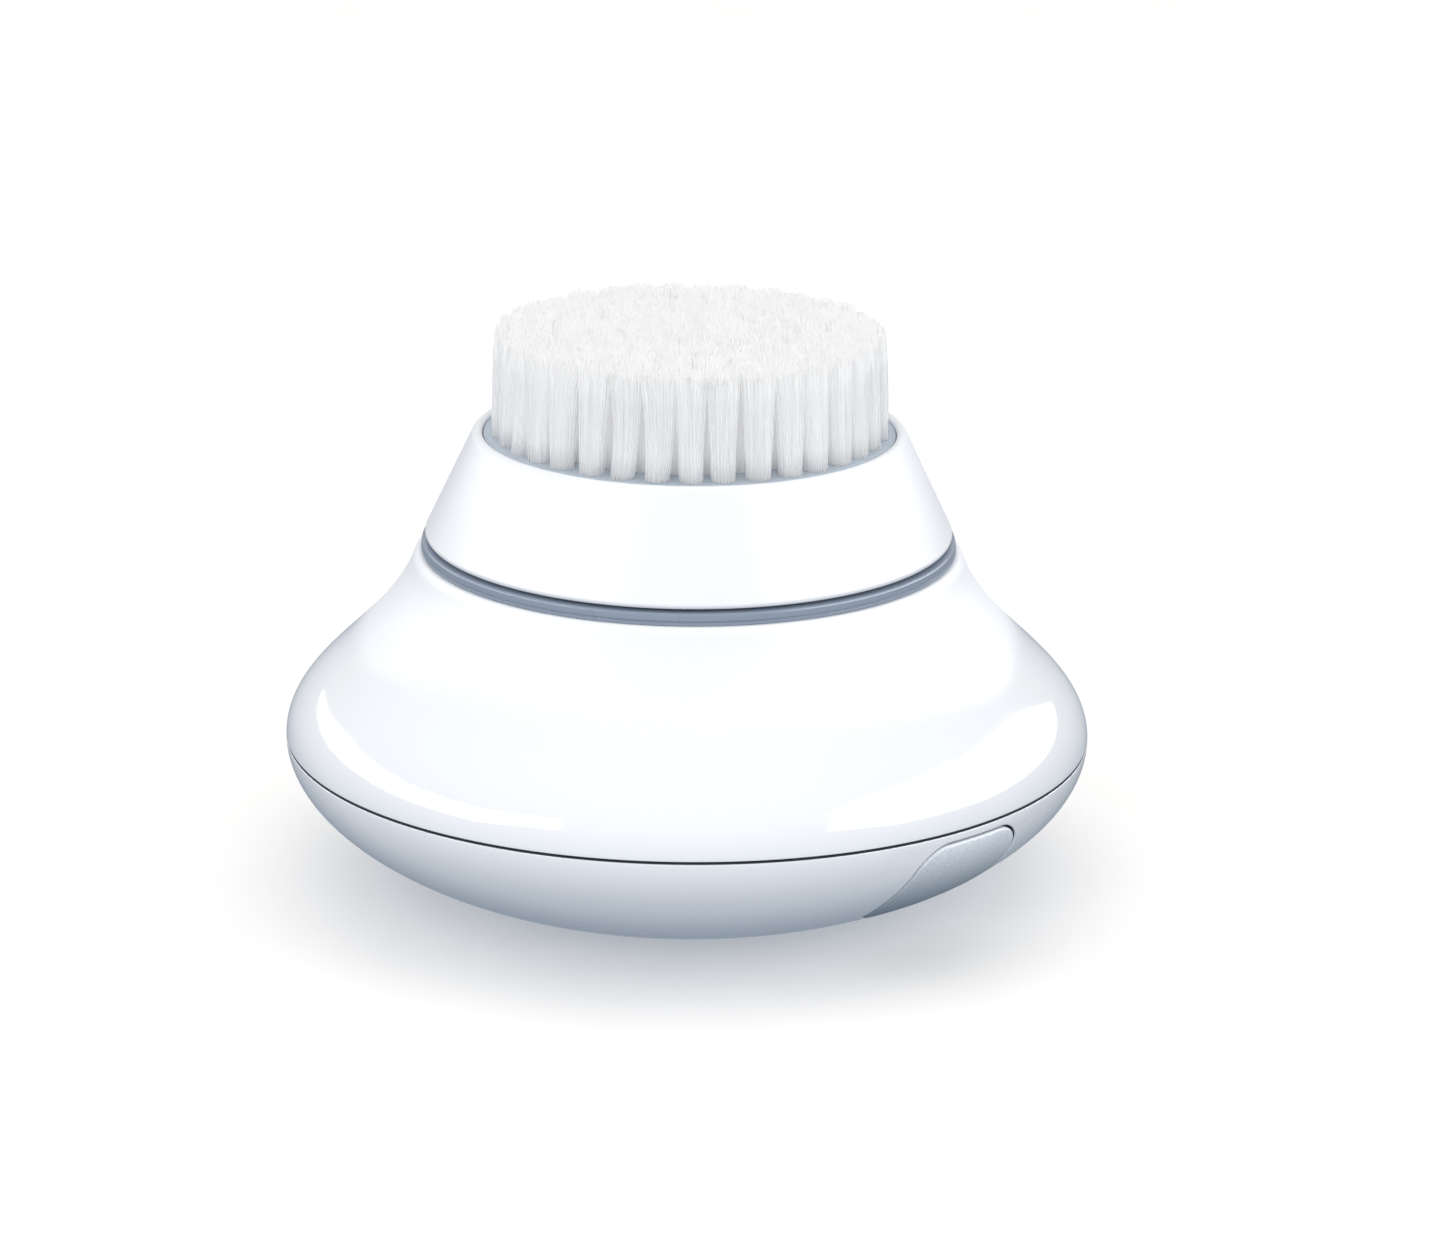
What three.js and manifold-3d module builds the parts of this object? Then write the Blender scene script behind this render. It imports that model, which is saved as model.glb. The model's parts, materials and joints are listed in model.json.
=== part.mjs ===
// A battery-powered facial cleansing brush: a round two-shell body that rests on its
// underside, a motor and gear train inside it, and a brush head that turns on top.
// Millimetres, +Z up. The origin is the centre of the flat underside, on the output axis.
import * as THREE from 'three';
import { mergeVertices } from 'three/addons/utils/BufferGeometryUtils.js';
import Module from 'manifold-3d';

const wasm = await Module();
wasm.setup();

// ---------------------------------------------------------------- driving dimensions
// cells
const CELL_R = 7.25;
const CELL_L = 50.5;
const CELL_GAP = 0.3; // between the two cells
const CELL_FLOOR = 4.3; // lowest point of a cell
const CELL_HEADROOM = 0.3; // top of a cell to the chassis
const CONTACT_ROOM = 3.9; // space for a contact at each end of a cell
const CHASSIS_T = 1.5;

// motor
const MOTOR_R = 12.2;
const MOTOR_H = 11.6;
const MOTOR_CAP_H = 2.6;
const MOTOR_SHAFT_R = 1;
const MOTOR_PAD_H = 0.2; // raised pad on the chassis under the motor
const GEARBOX_ROOM = 2.2; // top of the motor to the underside of the deck

// body shells
const BODY_R = 43; // widest radius, at the seam
const SEAM_Z = 16; // height of the seam between the shells
const WALL = 2; // shell wall
const DECK_WALL = 1.6; // top wall of the upper shell
// top face of the upper shell, where the collar ring sits: cells, chassis, motor and gearbox stack up to it
const DECK_Z = CELL_FLOOR + 2 * CELL_R + CELL_HEADROOM + CHASSIS_T + MOTOR_PAD_H + MOTOR_H + GEARBOX_ROOM + DECK_WALL;
const DECK_R = 28.9; // outer radius of that face
const DECK_EDGE = 0.2; // how far the shell's skin stands out past that face
const BASE_R = 17; // flat part of the underside
const BASE_SWEEP = 9.7; // how far the underside's curve runs on past the flat
const SEAM_GAP = 0.3; // height of the seam, filled inside by a gasket
const TONGUE_CLEAR = 0.8; // upper shell's wall to the lower shell's tongue
const TONGUE_T = 1.4;
const TONGUE_H = 1.8; // how far the tongue rises past the seam
const MOTOR_SIDE_ROOM = 1.5; // motor to the deck's edge
const MOTOR_OFFSET = DECK_R - MOTOR_SIDE_ROOM - MOTOR_R; // output axis to motor axis

// collar ring, neck and brush head
const COLLAR_H = 1.3;
const COLLAR_STEP = 0.45; // deck's edge to the collar ring
const COLLAR_R = DECK_R - COLLAR_STEP;
const HEAD_GAP = 0.3; // running gap under the brush cone
const CONE_STEP = 0.6; // deck's edge to the cone's foot
const CONE_FOOT_R = DECK_R - CONE_STEP; // outer radius of the cone at its foot
const CONE_TOP_R = 23; // outer radius just under its rim
const CONE_H = 11.5; // foot to rim
const CONE_WALL = 1.6;
const RIM_T = 1.1; // wall of the rim round the tuft plate
const RIM_R = CONE_TOP_R - RIM_T;
const RIM_DEPTH = 0.3; // rim top down to the tuft plate's face
const PLATE_T = 2.2; // tuft plate thickness
const PLATE_MARGIN = 0.9; // bare edge of the tuft plate
const TUFT_R = RIM_R - PLATE_MARGIN; // outer radius of the bristle field
const TUFT_H = 11.45; // free length of the bristles
const NECK_CLEAR = 1.2; // cone to neck, radial
const NECK_WALL = 1.6;

// battery door, wide enough for both cells to pass
const CELL_CLEAR = 0.3;
const DOOR_LEDGE = 0.7; // width of the ledge that the door's flange seats on
const DOOR_R = Math.hypot(2 * CELL_R + CELL_GAP / 2, CELL_L / 2) + CELL_CLEAR + DOOR_LEDGE;
const DOOR_WALL = 1.8;
const DOOR_FLANGE = 1; // thickness of the flange at the door's edge
const DOOR_GAP = 0.2;
const DOOR_LIP = 1.6; // wall of the collar that plugs into the bore
const BORE_WALL = 1.5;
const BORE_TOP = 7.4;
const ORING_R = 0.4;
const GROOVE_DEPTH = 0.8; // groove for the ring in the door's collar
const GROOVE_H = 1;
const GROOVE_LEDGE = 0.4; // wall left above and below the groove
const NOTCH_W = 10; // gap in the door's flange for a coin or a nail

// push-button
const PAD_AZIMUTH = 43.8; // degrees from -Y towards +X
const PAD_DROP = 1.3; // seam to the pad's top edge, along the surface
const PAD_LENGTH = 15.2;
const PAD_TOP_W = 6.4; // half-width at the ends
const PAD_BELLY = 1.3; // extra half-width in the middle
const PAD_CORNER = 2.6;
const PAD_T = 1.5;
const PAD_GAP = 0.25;
const PAD_TRAVEL = 0.3;
const STEM_R = 2;
const STEM_CLEAR = 0.15;
const SWITCH_SIZE = 6;
const SWITCH_H = 3.1;
const BOARD_W = 10;
const BOARD_L = 8;
const BOARD_T = 1;

// gear train
const GEAR_MODULE = 0.5;
const PINION_TEETH = 12;
const WHEEL_TEETH = 34;
const OUTPUT_TEETH = 44;
const GEAR_T = 2;
const GEAR_BACKLASH = 0.12;
const BASE_PLATE_T = 1.4;
const SHAFT_R = 2.5;
const BUSH_WALL = 1.6;
const IDLER_PIN_R = 1.5;
const RUNNING = 0.06; // radial clearance of turning fits
const AXIAL = 0.4; // end float between turning parts
const DOG_FLATS = 8; // across the flats of the drive dog
const DOG_H = 2.9;
const DOG_CLEAR = 0.1;
const GRIP_R = 3.2; // inside radius of the grip ring in the dog's groove
const GRIP_T = 0.8;
const LEAD_R = 0.6;

// fasteners
const SHELL_SCREW_ROOM = 7; // cells to the axis of a shell screw
const SHELL_SCREW_X = 2 * CELL_R + SHELL_SCREW_ROOM;
const SHELL_SCREW_Y = 11;
const SHELL_SCREW_R = 1.3;
const GEARBOX_POST_R = 19.2; // pitch radius of the gearbox posts
const GEARBOX_POST_ANGLES = [150, 240, 330];
const GEARBOX_SCREW_R = 1;
const MOTOR_SCREW_R = 0.8;
const MOTOR_SCREW_PITCH = 6;
const SCREW_HEAD = 2; // head radius as a multiple of the shank's
const SEAT = 0.02; // pieces that touch keep this much apart

// roundness
const BIG = 36;
const MEDIUM = 16;
const SMALL = 12;

// ---------------------------------------------------------------- worked-out places
const rad = THREE.MathUtils.degToRad;
const point = (r, z) => new THREE.Vector2(r, z);

const motorTop = DECK_Z - DECK_WALL - GEARBOX_ROOM;
const motorBottom = motorTop - MOTOR_H;
const basePlateTop = motorTop + BASE_PLATE_T;
const wheelZ = basePlateTop + AXIAL;
const outputZ = wheelZ + GEAR_T + AXIAL + 0.2;
const neckTop = outputZ + GEAR_T + 3.6;
const neckSlope = (CONE_FOOT_R - CONE_TOP_R) / (CONE_H - 0.6);
const coneFootZ = DECK_Z + COLLAR_H + HEAD_GAP;
const coneOuterAt = (z) => CONE_FOOT_R - neckSlope * (z - coneFootZ);
const coneInnerAt = (z) => coneOuterAt(z) - CONE_WALL * Math.hypot(1, neckSlope);
const neckOuterAt = (z) => coneInnerAt(z) - NECK_CLEAR;
const neckInnerAt = (z) => neckOuterAt(z) - NECK_WALL * Math.hypot(1, neckSlope);
const rimTop = coneFootZ + CONE_H;
const plateTop = rimTop - RIM_DEPTH;
const plateBottom = plateTop - PLATE_T;
const dogZ = neckTop + 0.7;
const cellX = CELL_R + CELL_GAP / 2;
const cellZ = CELL_FLOOR + CELL_R;
const chassisZ = cellZ + CELL_R + CELL_HEADROOM;
const boreR = DOOR_R - DOOR_LEDGE;
const tongueTop = SEAM_Z + TONGUE_H;
const pinionR = (GEAR_MODULE * PINION_TEETH) / 2;
const wheelR = (GEAR_MODULE * WHEEL_TEETH) / 2;
const outputR = (GEAR_MODULE * OUTPUT_TEETH) / 2;
const firstCentres = pinionR + wheelR;
const secondCentres = pinionR + outputR;
// the idler lies where both centre distances are met, with the motor on +Y
const idlerTurn = Math.acos(
  (secondCentres ** 2 + MOTOR_OFFSET ** 2 - firstCentres ** 2) / (2 * secondCentres * MOTOR_OFFSET),
);
const idlerX = secondCentres * Math.sin(idlerTurn);
const idlerY = secondCentres * Math.cos(idlerTurn);

// ---------------------------------------------------------------- outlines of the shells
const lowerCurve = new THREE.CubicBezierCurve(
  point(BODY_R, SEAM_Z),
  point(BODY_R, SEAM_Z * 0.47),
  point(BASE_R + BASE_SWEEP, 0),
  point(BASE_R, 0),
);
const upperCurve = new THREE.CubicBezierCurve(
  point(BODY_R, SEAM_Z),
  point(BODY_R, SEAM_Z + 6.8),
  point(DECK_R + 3.4, SEAM_Z + 10.2),
  point(DECK_R + DECK_EDGE, DECK_Z - 0.3),
);

// the point of a curve at t, moved inwards along the curve's normal
function inset(curve, t, depth) {
  const place = curve.getPointAt(t);
  const along = curve.getTangentAt(t);
  const side = curve === lowerCurve ? -1 : 1;
  return point(place.x - side * along.y * depth, place.y + side * along.x * depth);
}

// samples of a curve between two fractions of its length, at some depth under its surface
function stretch(curve, from, to, depth, steps) {
  const places = [];
  for (let i = 0; i <= steps; i += 1) {
    places.push(inset(curve, THREE.MathUtils.lerp(from, to, i / steps), depth));
  }
  return places;
}

// the fraction of a curve's length at which a test on the point first holds
function fractionWhere(curve, depth, test) {
  const fine = 400;
  for (let i = 0; i <= fine; i += 1) if (test(inset(curve, i / fine, depth))) return i / fine;
  return 1;
}

// inside radius of the upper shell at a height
function upperInnerAt(z) {
  return inset(upperCurve, fractionWhere(upperCurve, WALL, (p) => p.y >= z), WALL).x;
}
const tongueR = Math.min(BODY_R - WALL - TONGUE_CLEAR, upperInnerAt(tongueTop + 0.3) - 0.2);

// ---------------------------------------------------------------- shape helpers
// a closed geometry with shared corners, no slivers and its faces pointing out
function closed(geometry) {
  const bare = geometry.clone();
  bare.deleteAttribute('normal');
  bare.deleteAttribute('uv');
  const merged = mergeVertices(bare, 1e-4);
  const place = merged.getAttribute('position');
  const index = merged.getIndex().array;
  const kept = [];
  let volume = 0;
  const [a, b, c] = [new THREE.Vector3(), new THREE.Vector3(), new THREE.Vector3()];
  for (let i = 0; i < index.length; i += 3) {
    const [p, q, r] = [index[i], index[i + 1], index[i + 2]];
    if (p !== q && q !== r && r !== p) {
      kept.push(p, q, r);
      a.fromBufferAttribute(place, p);
      b.fromBufferAttribute(place, q);
      c.fromBufferAttribute(place, r);
      volume += a.dot(b.cross(c));
    }
  }
  merged.setIndex(volume < 0 ? kept.reverse() : kept);
  return merged;
}

function solid(geometry) {
  const shape = closed(geometry);
  return new wasm.Manifold(
    new wasm.Mesh({
      numProp: 3,
      vertProperties: new Float32Array(shape.getAttribute('position').array),
      triVerts: new Uint32Array(shape.getIndex().array),
    }),
  );
}

function geometryOf(body) {
  const mesh = body.getMesh();
  const geometry = new THREE.BufferGeometry();
  geometry.setAttribute('position', new THREE.BufferAttribute(mesh.vertProperties, 3));
  geometry.setIndex(new THREE.BufferAttribute(mesh.triVerts, 1));
  return geometry;
}

// one geometry made of a first one, plus some, minus others
function carve(first, added, removed) {
  let body = solid(first);
  for (const extra of added) body = body.add(solid(extra));
  for (const gone of removed) body = body.subtract(solid(gone));
  return geometryOf(body);
}

// a profile of (radius, height) points turned about Z
function turned(profile, segments) {
  return new THREE.LatheGeometry(profile, segments).rotateX(Math.PI / 2);
}

function tube(innerR, outerR, z0, z1, segments) {
  const corners = [point(innerR, z0), point(outerR, z0), point(outerR, z1), point(innerR, z1), point(innerR, z0)];
  return turned(corners, segments);
}

function rod(radius, z0, z1, segments) {
  return turned([point(0, z0), point(radius, z0), point(radius, z1), point(0, z1)], segments);
}

function block(x0, x1, y0, y1, z0, z1) {
  const box = new THREE.BoxGeometry(x1 - x0, y1 - y0, z1 - z0);
  return box.translate((x0 + x1) / 2, (y0 + y1) / 2, (z0 + z1) / 2);
}

function extruded(shape, z0, z1, segments) {
  const options = { depth: z1 - z0, bevelEnabled: false, curveSegments: segments };
  return new THREE.ExtrudeGeometry(shape, options).translate(0, 0, z0);
}

function roundedPlate(halfX, halfY, corner, z0, z1) {
  const shape = new THREE.Shape();
  shape.moveTo(halfX - corner, -halfY);
  shape.absarc(halfX - corner, -halfY + corner, corner, -Math.PI / 2, 0, false);
  shape.absarc(halfX - corner, halfY - corner, corner, 0, Math.PI / 2, false);
  shape.absarc(-halfX + corner, halfY - corner, corner, Math.PI / 2, Math.PI, false);
  shape.absarc(-halfX + corner, -halfY + corner, corner, Math.PI, 1.5 * Math.PI, false);
  return extruded(shape, z0, z1, 5);
}

function polygon(radius, sides, z0, z1) {
  return rod(radius, z0, z1, sides);
}

// a spur gear's outline: straight-flanked teeth, a little thinner than their gaps
function gearShape(teeth, turn) {
  const pitchR = (GEAR_MODULE * teeth) / 2;
  const tipR = pitchR + GEAR_MODULE * 0.9;
  const rootR = pitchR - GEAR_MODULE * 1.2;
  const step = (2 * Math.PI) / teeth;
  const thin = GEAR_BACKLASH / pitchR / 2;
  const rootHalf = step * 0.36 - thin;
  const tipHalf = step * 0.14 - thin / 2;
  const shape = new THREE.Shape();
  for (let i = 0; i < teeth; i += 1) {
    const middle = turn + i * step;
    const corners = [
      [rootR, -rootHalf],
      [tipR, -tipHalf],
      [tipR, tipHalf],
      [rootR, rootHalf],
    ];
    for (const [r, offset] of corners) {
      const x = r * Math.cos(middle + offset);
      const y = r * Math.sin(middle + offset);
      if (i === 0 && offset === -rootHalf) shape.moveTo(x, y);
      else shape.lineTo(x, y);
    }
  }
  return shape;
}

function gear(teeth, turn, z0, z1) {
  return extruded(gearShape(teeth, turn), z0, z1, 1);
}

// a pan-head screw that points up, with its head's underside at height 0
function screwShape(shankR, length) {
  const headR = shankR * SCREW_HEAD;
  const headH = shankR * 1.2;
  const profile = [
    point(0, -headH * 0.5),
    point(headR * 0.8, -headH),
    point(headR, 0),
    point(shankR, 0),
    point(shankR, length - shankR),
    point(0, length),
  ];
  return turned(profile, SMALL);
}

function swept(path, radius, sides, steps) {
  const section = new THREE.Shape();
  section.absarc(0, 0, radius, 0, 2 * Math.PI, false);
  const options = { steps, bevelEnabled: false, extrudePath: path, curveSegments: sides };
  return new THREE.ExtrudeGeometry(section, options);
}

function wire(places, radius) {
  const path = new THREE.CatmullRomCurve3(places.map((p) => new THREE.Vector3(...p)), false, 'centripetal');
  return swept(path, radius, 4, 3 * places.length);
}

// a coil whose radius grows from one end to the other, along +Y from y = 0
class ConeHelix extends THREE.Curve {
  constructor(startR, endR, length, turns) {
    super();
    Object.assign(this, { startR, endR, length, turns });
  }

  getPoint(t, target = new THREE.Vector3()) {
    const angle = 2 * Math.PI * this.turns * t;
    const r = this.startR + (this.endR - this.startR) * t;
    return target.set(r * Math.cos(angle), this.length * t, r * Math.sin(angle));
  }
}

// a patch of the lower shell's surface, from one depth under it to another
function surfacePatch(margin, depthOut, depthIn) {
  const rows = 12;
  const columns = 4;
  const total = lowerCurve.getLength();
  const start = PAD_DROP - margin;
  const length = PAD_LENGTH + 2 * margin;
  const corner = PAD_CORNER + margin;
  const places = [];
  for (const depth of [depthOut, depthIn]) {
    for (let i = 0; i <= rows; i += 1) {
      const run = (length * (1 - Math.cos((Math.PI * i) / rows))) / 2;
      const edge = Math.max(0, corner - Math.min(run, length - run));
      const belly = PAD_BELLY * Math.sin((Math.PI * run) / length);
      const half = PAD_TOP_W + margin + belly - corner + Math.sqrt(corner ** 2 - edge ** 2);
      const spot = inset(lowerCurve, (start + run) / total, depth);
      const surface = inset(lowerCurve, (start + run) / total, 0);
      for (let j = 0; j <= columns; j += 1) {
        const turn = rad(PAD_AZIMUTH) + ((half / surface.x) * (2 * j - columns)) / columns;
        places.push(spot.x * Math.sin(turn), -spot.x * Math.cos(turn), spot.y);
      }
    }
  }
  const across = columns + 1;
  const sheet = across * (rows + 1);
  const index = [];
  const quad = (a, b, c, d) => index.push(a, b, c, a, c, d);
  for (let i = 0; i < rows; i += 1) {
    for (let j = 0; j < columns; j += 1) {
      const k = i * across + j;
      quad(k, k + across, k + across + 1, k + 1);
      quad(sheet + k, sheet + k + 1, sheet + k + across + 1, sheet + k + across);
    }
    const left = i * across;
    const right = left + columns;
    quad(left, sheet + left, sheet + left + across, left + across);
    quad(right, right + across, sheet + right + across, sheet + right);
  }
  for (let j = 0; j < columns; j += 1) {
    const last = rows * across + j;
    quad(j, j + 1, sheet + j + 1, sheet + j);
    quad(last, sheet + last, sheet + last + 1, last + 1);
  }
  const geometry = new THREE.BufferGeometry();
  geometry.setAttribute('position', new THREE.Float32BufferAttribute(places, 3));
  geometry.setIndex(index);
  return geometry;
}

// the frame of the button's travel: +Z runs inwards along the surface normal at the pad's middle
const padMiddle = (PAD_DROP + PAD_LENGTH * 0.45) / lowerCurve.getLength();
const padSpot = inset(lowerCurve, padMiddle, 0);
const padInward = inset(lowerCurve, padMiddle, 1).sub(padSpot);
const pushFrame = new THREE.Matrix4();
{
  const [s, c] = [Math.sin(rad(PAD_AZIMUTH)), Math.cos(rad(PAD_AZIMUTH))];
  const inward = new THREE.Vector3(padInward.x * s, -padInward.x * c, padInward.y);
  const across = new THREE.Vector3(c, s, 0);
  const along = new THREE.Vector3().crossVectors(inward, across);
  pushFrame.makeBasis(across, along, inward);
  pushFrame.setPosition(padSpot.x * s, -padSpot.x * c, padSpot.y);
}
const pushed = (geometry) => geometry.applyMatrix4(pushFrame);

// depths along the button's travel, from the pad's face
const pocketDepth = PAD_T + PAD_TRAVEL + 0.5;
const pocketBack = pocketDepth + 1.4;
const bootBack = pocketBack + 1.3;
const bootR = STEM_R + STEM_CLEAR + 2.4;
const plungerZ = bootBack + 0.9;
const switchZ = plungerZ + PAD_TRAVEL + 0.3;
const boardZ = switchZ + SWITCH_H;

// ---------------------------------------------------------------- materials
function finish(color, roughness, metalness = 0) {
  return new THREE.MeshStandardMaterial({ color, roughness, metalness });
}

const glossWhite = () => finish(0xf2f4f8, 0.12);
const greyBlue = () => finish(0x8793a3, 0.35);
const plateGrey = () => finish(0xcfdae4, 0.4);
const padGrey = () => finish(0xa9b8c6, 0.6);
const nylon = () => finish(0xf7f8fa, 0.5);
const innerPlastic = () => finish(0x5c6570, 0.6);
const acetal = () => finish(0xe9e6dc, 0.45);
const silicone = () => finish(0x3a3f45, 0.8);
const steel = () => finish(0xb9bcc0, 0.3, 1);
const brass = () => finish(0xc9a557, 0.3, 1);
const bronze = () => finish(0xa7763d, 0.45, 1);
const cellJacket = () => finish(0x3d5f8c, 0.4);
const board = () => finish(0x1f6b45, 0.5);
const switchBlack = () => finish(0x1c1d1f, 0.5);
const redLead = () => finish(0xb3261e, 0.5);
const blackLead = () => finish(0x1b1b1d, 0.5);

const brush = new THREE.Group();

function place(parent, name, geometry, material, x = 0, y = 0, z = 0) {
  const mesh = new THREE.Mesh(closed(geometry), material);
  mesh.name = name;
  mesh.position.set(x, y, z);
  parent.add(mesh);
  return mesh;
}

function section(x = 0, y = 0, z = 0) {
  const group = new THREE.Group();
  group.position.set(x, y, z);
  brush.add(group);
  return group;
}

const shellScrewPlaces = [
  [SHELL_SCREW_X, SHELL_SCREW_Y],
  [-SHELL_SCREW_X, SHELL_SCREW_Y],
  [-SHELL_SCREW_X, -SHELL_SCREW_Y],
  [SHELL_SCREW_X, -SHELL_SCREW_Y],
];
const shelfZ = chassisZ - 2;
const bossZ = chassisZ + CHASSIS_T + SEAT;
const bossTop = DECK_Z - 7;

// ---------------------------------------------------------------- lower shell
function lowerShell() {
  const seamTop = SEAM_Z - SEAM_GAP / 2;
  const from = fractionWhere(lowerCurve, 0, (p) => p.y <= seamTop);
  const to = fractionWhere(lowerCurve, 0, (p) => p.x <= DOOR_R + DOOR_GAP);
  const innerTo = fractionWhere(lowerCurve, WALL, (p) => p.x <= boreR + BORE_WALL);
  const innerFrom = fractionWhere(lowerCurve, WALL, (p) => p.y <= seamTop - 1);
  const seatZ = lowerCurve.getPointAt(to).y + 1.2;
  const outer = stretch(lowerCurve, from, to, 0, 7);
  const inner = stretch(lowerCurve, innerFrom, innerTo, WALL, 4).reverse();
  const profile = [
    ...outer,
    point(DOOR_R + DOOR_GAP, seatZ),
    point(boreR, seatZ),
    point(boreR, BORE_TOP),
    point(boreR + BORE_WALL, BORE_TOP),
    ...inner,
    point(tongueR - TONGUE_T, seamTop - 1),
    point(tongueR - TONGUE_T, tongueTop),
    point(tongueR, tongueTop),
    point(tongueR, seamTop),
    outer[0].clone(),
  ];
  // two shelves carry the chassis and the shell screws beside the cells
  const roomR = tongueR - 1.2;
  const shelfR = Math.min(roomR - 2, upperInnerAt(shelfZ + 2) - 0.5);
  const room = solid(turned([
    point(0, BORE_TOP),
    ...stretch(lowerCurve, innerFrom, innerTo, WALL * 0.5, 4).reverse(),
    point(roomR, seamTop),
    point(roomR, tongueTop),
    point(shelfR, shelfZ + 2),
    point(0, shelfZ + 2),
  ], BIG));
  const shelves = [];
  for (const side of [1, -1]) {
    const [near, far] = [side * (2 * CELL_R + 2.6), side * BODY_R];
    const shelf = block(Math.min(near, far), Math.max(near, far), -15, 15, shelfZ, chassisZ - SEAT);
    shelves.push(geometryOf(solid(shelf).intersect(room)));
    for (const y of [-12, 12]) {
      const [ribNear, ribFar] = [side * (DOOR_R + 2.5), side * BODY_R];
      const rib = block(Math.min(ribNear, ribFar), Math.max(ribNear, ribFar), y - 0.8, y + 0.8, BORE_TOP, shelfZ + 0.5);
      shelves.push(geometryOf(solid(rib).intersect(room)));
    }
  }
  const holes = shellScrewPlaces.map(([x, y]) => (
    rod(SHELL_SCREW_R + 0.2, shelfZ - 1, chassisZ + 1, SMALL).translate(x, y, 0)
  ));
  // the pocket behind the button ends under the seam
  const underSeam = solid(rod(BODY_R, 0, seamTop, BIG));
  const doorSpace = solid(rod(DOOR_R + DOOR_GAP, -1, seatZ, BIG)).add(solid(rod(boreR, 0, BORE_TOP + 1, BIG)));
  const pocketSkin = solid(surfacePatch(1, WALL * 0.5, pocketBack));
  const pocketWall = geometryOf(pocketSkin.intersect(underSeam).subtract(doorSpace));
  const grooveHalf = BOARD_W / 2 + 0.3;
  const rails = [-1, 1].map((side) => {
    const [near, far] = [side * (BOARD_W / 2 - 0.8), side * (BOARD_W / 2 + 1.4)];
    return pushed(block(Math.min(near, far), Math.max(near, far), -2.4, 2.4, pocketBack - 1, boardZ + BOARD_T + 1));
  });
  const groove = pushed(block(-grooveHalf, grooveHalf, -6, 6, boardZ - 0.2, boardZ + BOARD_T + 0.2));
  return carve(
    turned(profile, BIG),
    [...shelves, pocketWall, ...rails],
    [
      surfacePatch(PAD_GAP, -1, pocketDepth),
      pushed(rod(STEM_R + STEM_CLEAR, 0, pocketBack + 2, SMALL)),
      pushed(rod(bootR + 0.25, pocketBack + 0.05, bootBack + 1.5, MEDIUM)),
      groove,
      ...holes,
    ],
  );
}

// ---------------------------------------------------------------- upper shell, with the drive neck
function upperShell() {
  const seamFoot = SEAM_Z + SEAM_GAP / 2;
  const from = fractionWhere(upperCurve, 0, (p) => p.y >= seamFoot);
  const innerFrom = fractionWhere(upperCurve, WALL, (p) => p.y >= seamFoot);
  const deckUnder = DECK_Z - DECK_WALL;
  const innerTo = fractionWhere(upperCurve, WALL, (p) => p.y >= deckUnder);
  const outer = stretch(upperCurve, from, 1, 0, 8);
  // the wall stays upright past the tongue, then turns in towards the deck
  const pastTongue = fractionWhere(upperCurve, WALL, (p) => p.y >= tongueTop + 0.3);
  const inner = [inset(upperCurve, innerFrom, WALL), ...stretch(upperCurve, pastTongue, innerTo, WALL, 4)].reverse();
  const neckUnder = neckTop - NECK_WALL;
  const bushR = SHAFT_R + BUSH_WALL;
  const profile = [
    ...outer,
    point(DECK_R, DECK_Z),
    point(neckOuterAt(DECK_Z), DECK_Z),
    point(neckOuterAt(neckTop - 0.6), neckTop - 0.6),
    point(neckOuterAt(neckTop) - 0.6, neckTop),
    point(bushR + SEAT, neckTop),
    point(bushR + SEAT, outputZ + GEAR_T + AXIAL),
    point(bushR + 1.6, outputZ + GEAR_T + AXIAL),
    point(bushR + 1.6, neckUnder),
    point(neckInnerAt(neckUnder), neckUnder),
    point(neckInnerAt(deckUnder), deckUnder),
    ...inner,
    outer[0].clone(),
  ];
  const envelope = solid(turned([
    point(0, seamFoot),
    ...stretch(upperCurve, from, 1, WALL * 0.5, 6),
    point(neckOuterAt(DECK_Z) - 0.8, DECK_Z - 0.8),
    point(neckOuterAt(neckTop) - 0.8, neckTop - 0.8),
    point(0, neckTop - 0.8),
  ], BIG));
  const bosses = [];
  const bores = [];
  for (const [x, y] of shellScrewPlaces) {
    bosses.push(rod(3, bossZ, bossTop, SMALL).translate(x, y, 0));
    const far = Math.sign(x) * BODY_R;
    const rib = block(Math.min(x, far), Math.max(x, far), y - 0.9, y + 0.9, bossZ + 4, bossTop);
    bosses.push(geometryOf(solid(rib).intersect(envelope)));
    bores.push(rod(SHELL_SCREW_R + SEAT, bossZ - 1, bossZ + 7, SMALL).translate(x, y, 0));
  }
  for (const angle of GEARBOX_POST_ANGLES) {
    const [x, y] = [GEARBOX_POST_R * Math.cos(rad(angle)), GEARBOX_POST_R * Math.sin(rad(angle))];
    const post = rod(2.4, basePlateTop + SEAT, neckTop - 0.9, SMALL).translate(x, y, 0);
    bosses.push(geometryOf(solid(post).intersect(envelope)));
    bores.push(rod(GEARBOX_SCREW_R + SEAT, basePlateTop - 1, basePlateTop + 5, SMALL).translate(x, y, 0));
  }
  // the idler pin's upper end sits in a boss under the neck's top
  const pinBoss = rod(IDLER_PIN_R + 1.4, outputZ + GEAR_T + AXIAL, neckTop - 0.9, SMALL);
  bosses.push(pinBoss.translate(idlerX, idlerY, 0));
  bores.push(rod(IDLER_PIN_R + SEAT, outputZ, neckTop - NECK_WALL, MEDIUM).translate(idlerX, idlerY, 0));
  return carve(turned(profile, BIG), bosses, bores);
}

// ---------------------------------------------------------------- battery door and its ring
const flangeZ = lowerCurve.getPointAt(fractionWhere(lowerCurve, 0, (p) => p.x <= DOOR_R)).y + DOOR_FLANGE;
const ringZ = flangeZ + GROOVE_LEDGE + GROOVE_H / 2;
const lipTop = ringZ + GROOVE_H / 2 + GROOVE_LEDGE;

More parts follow.
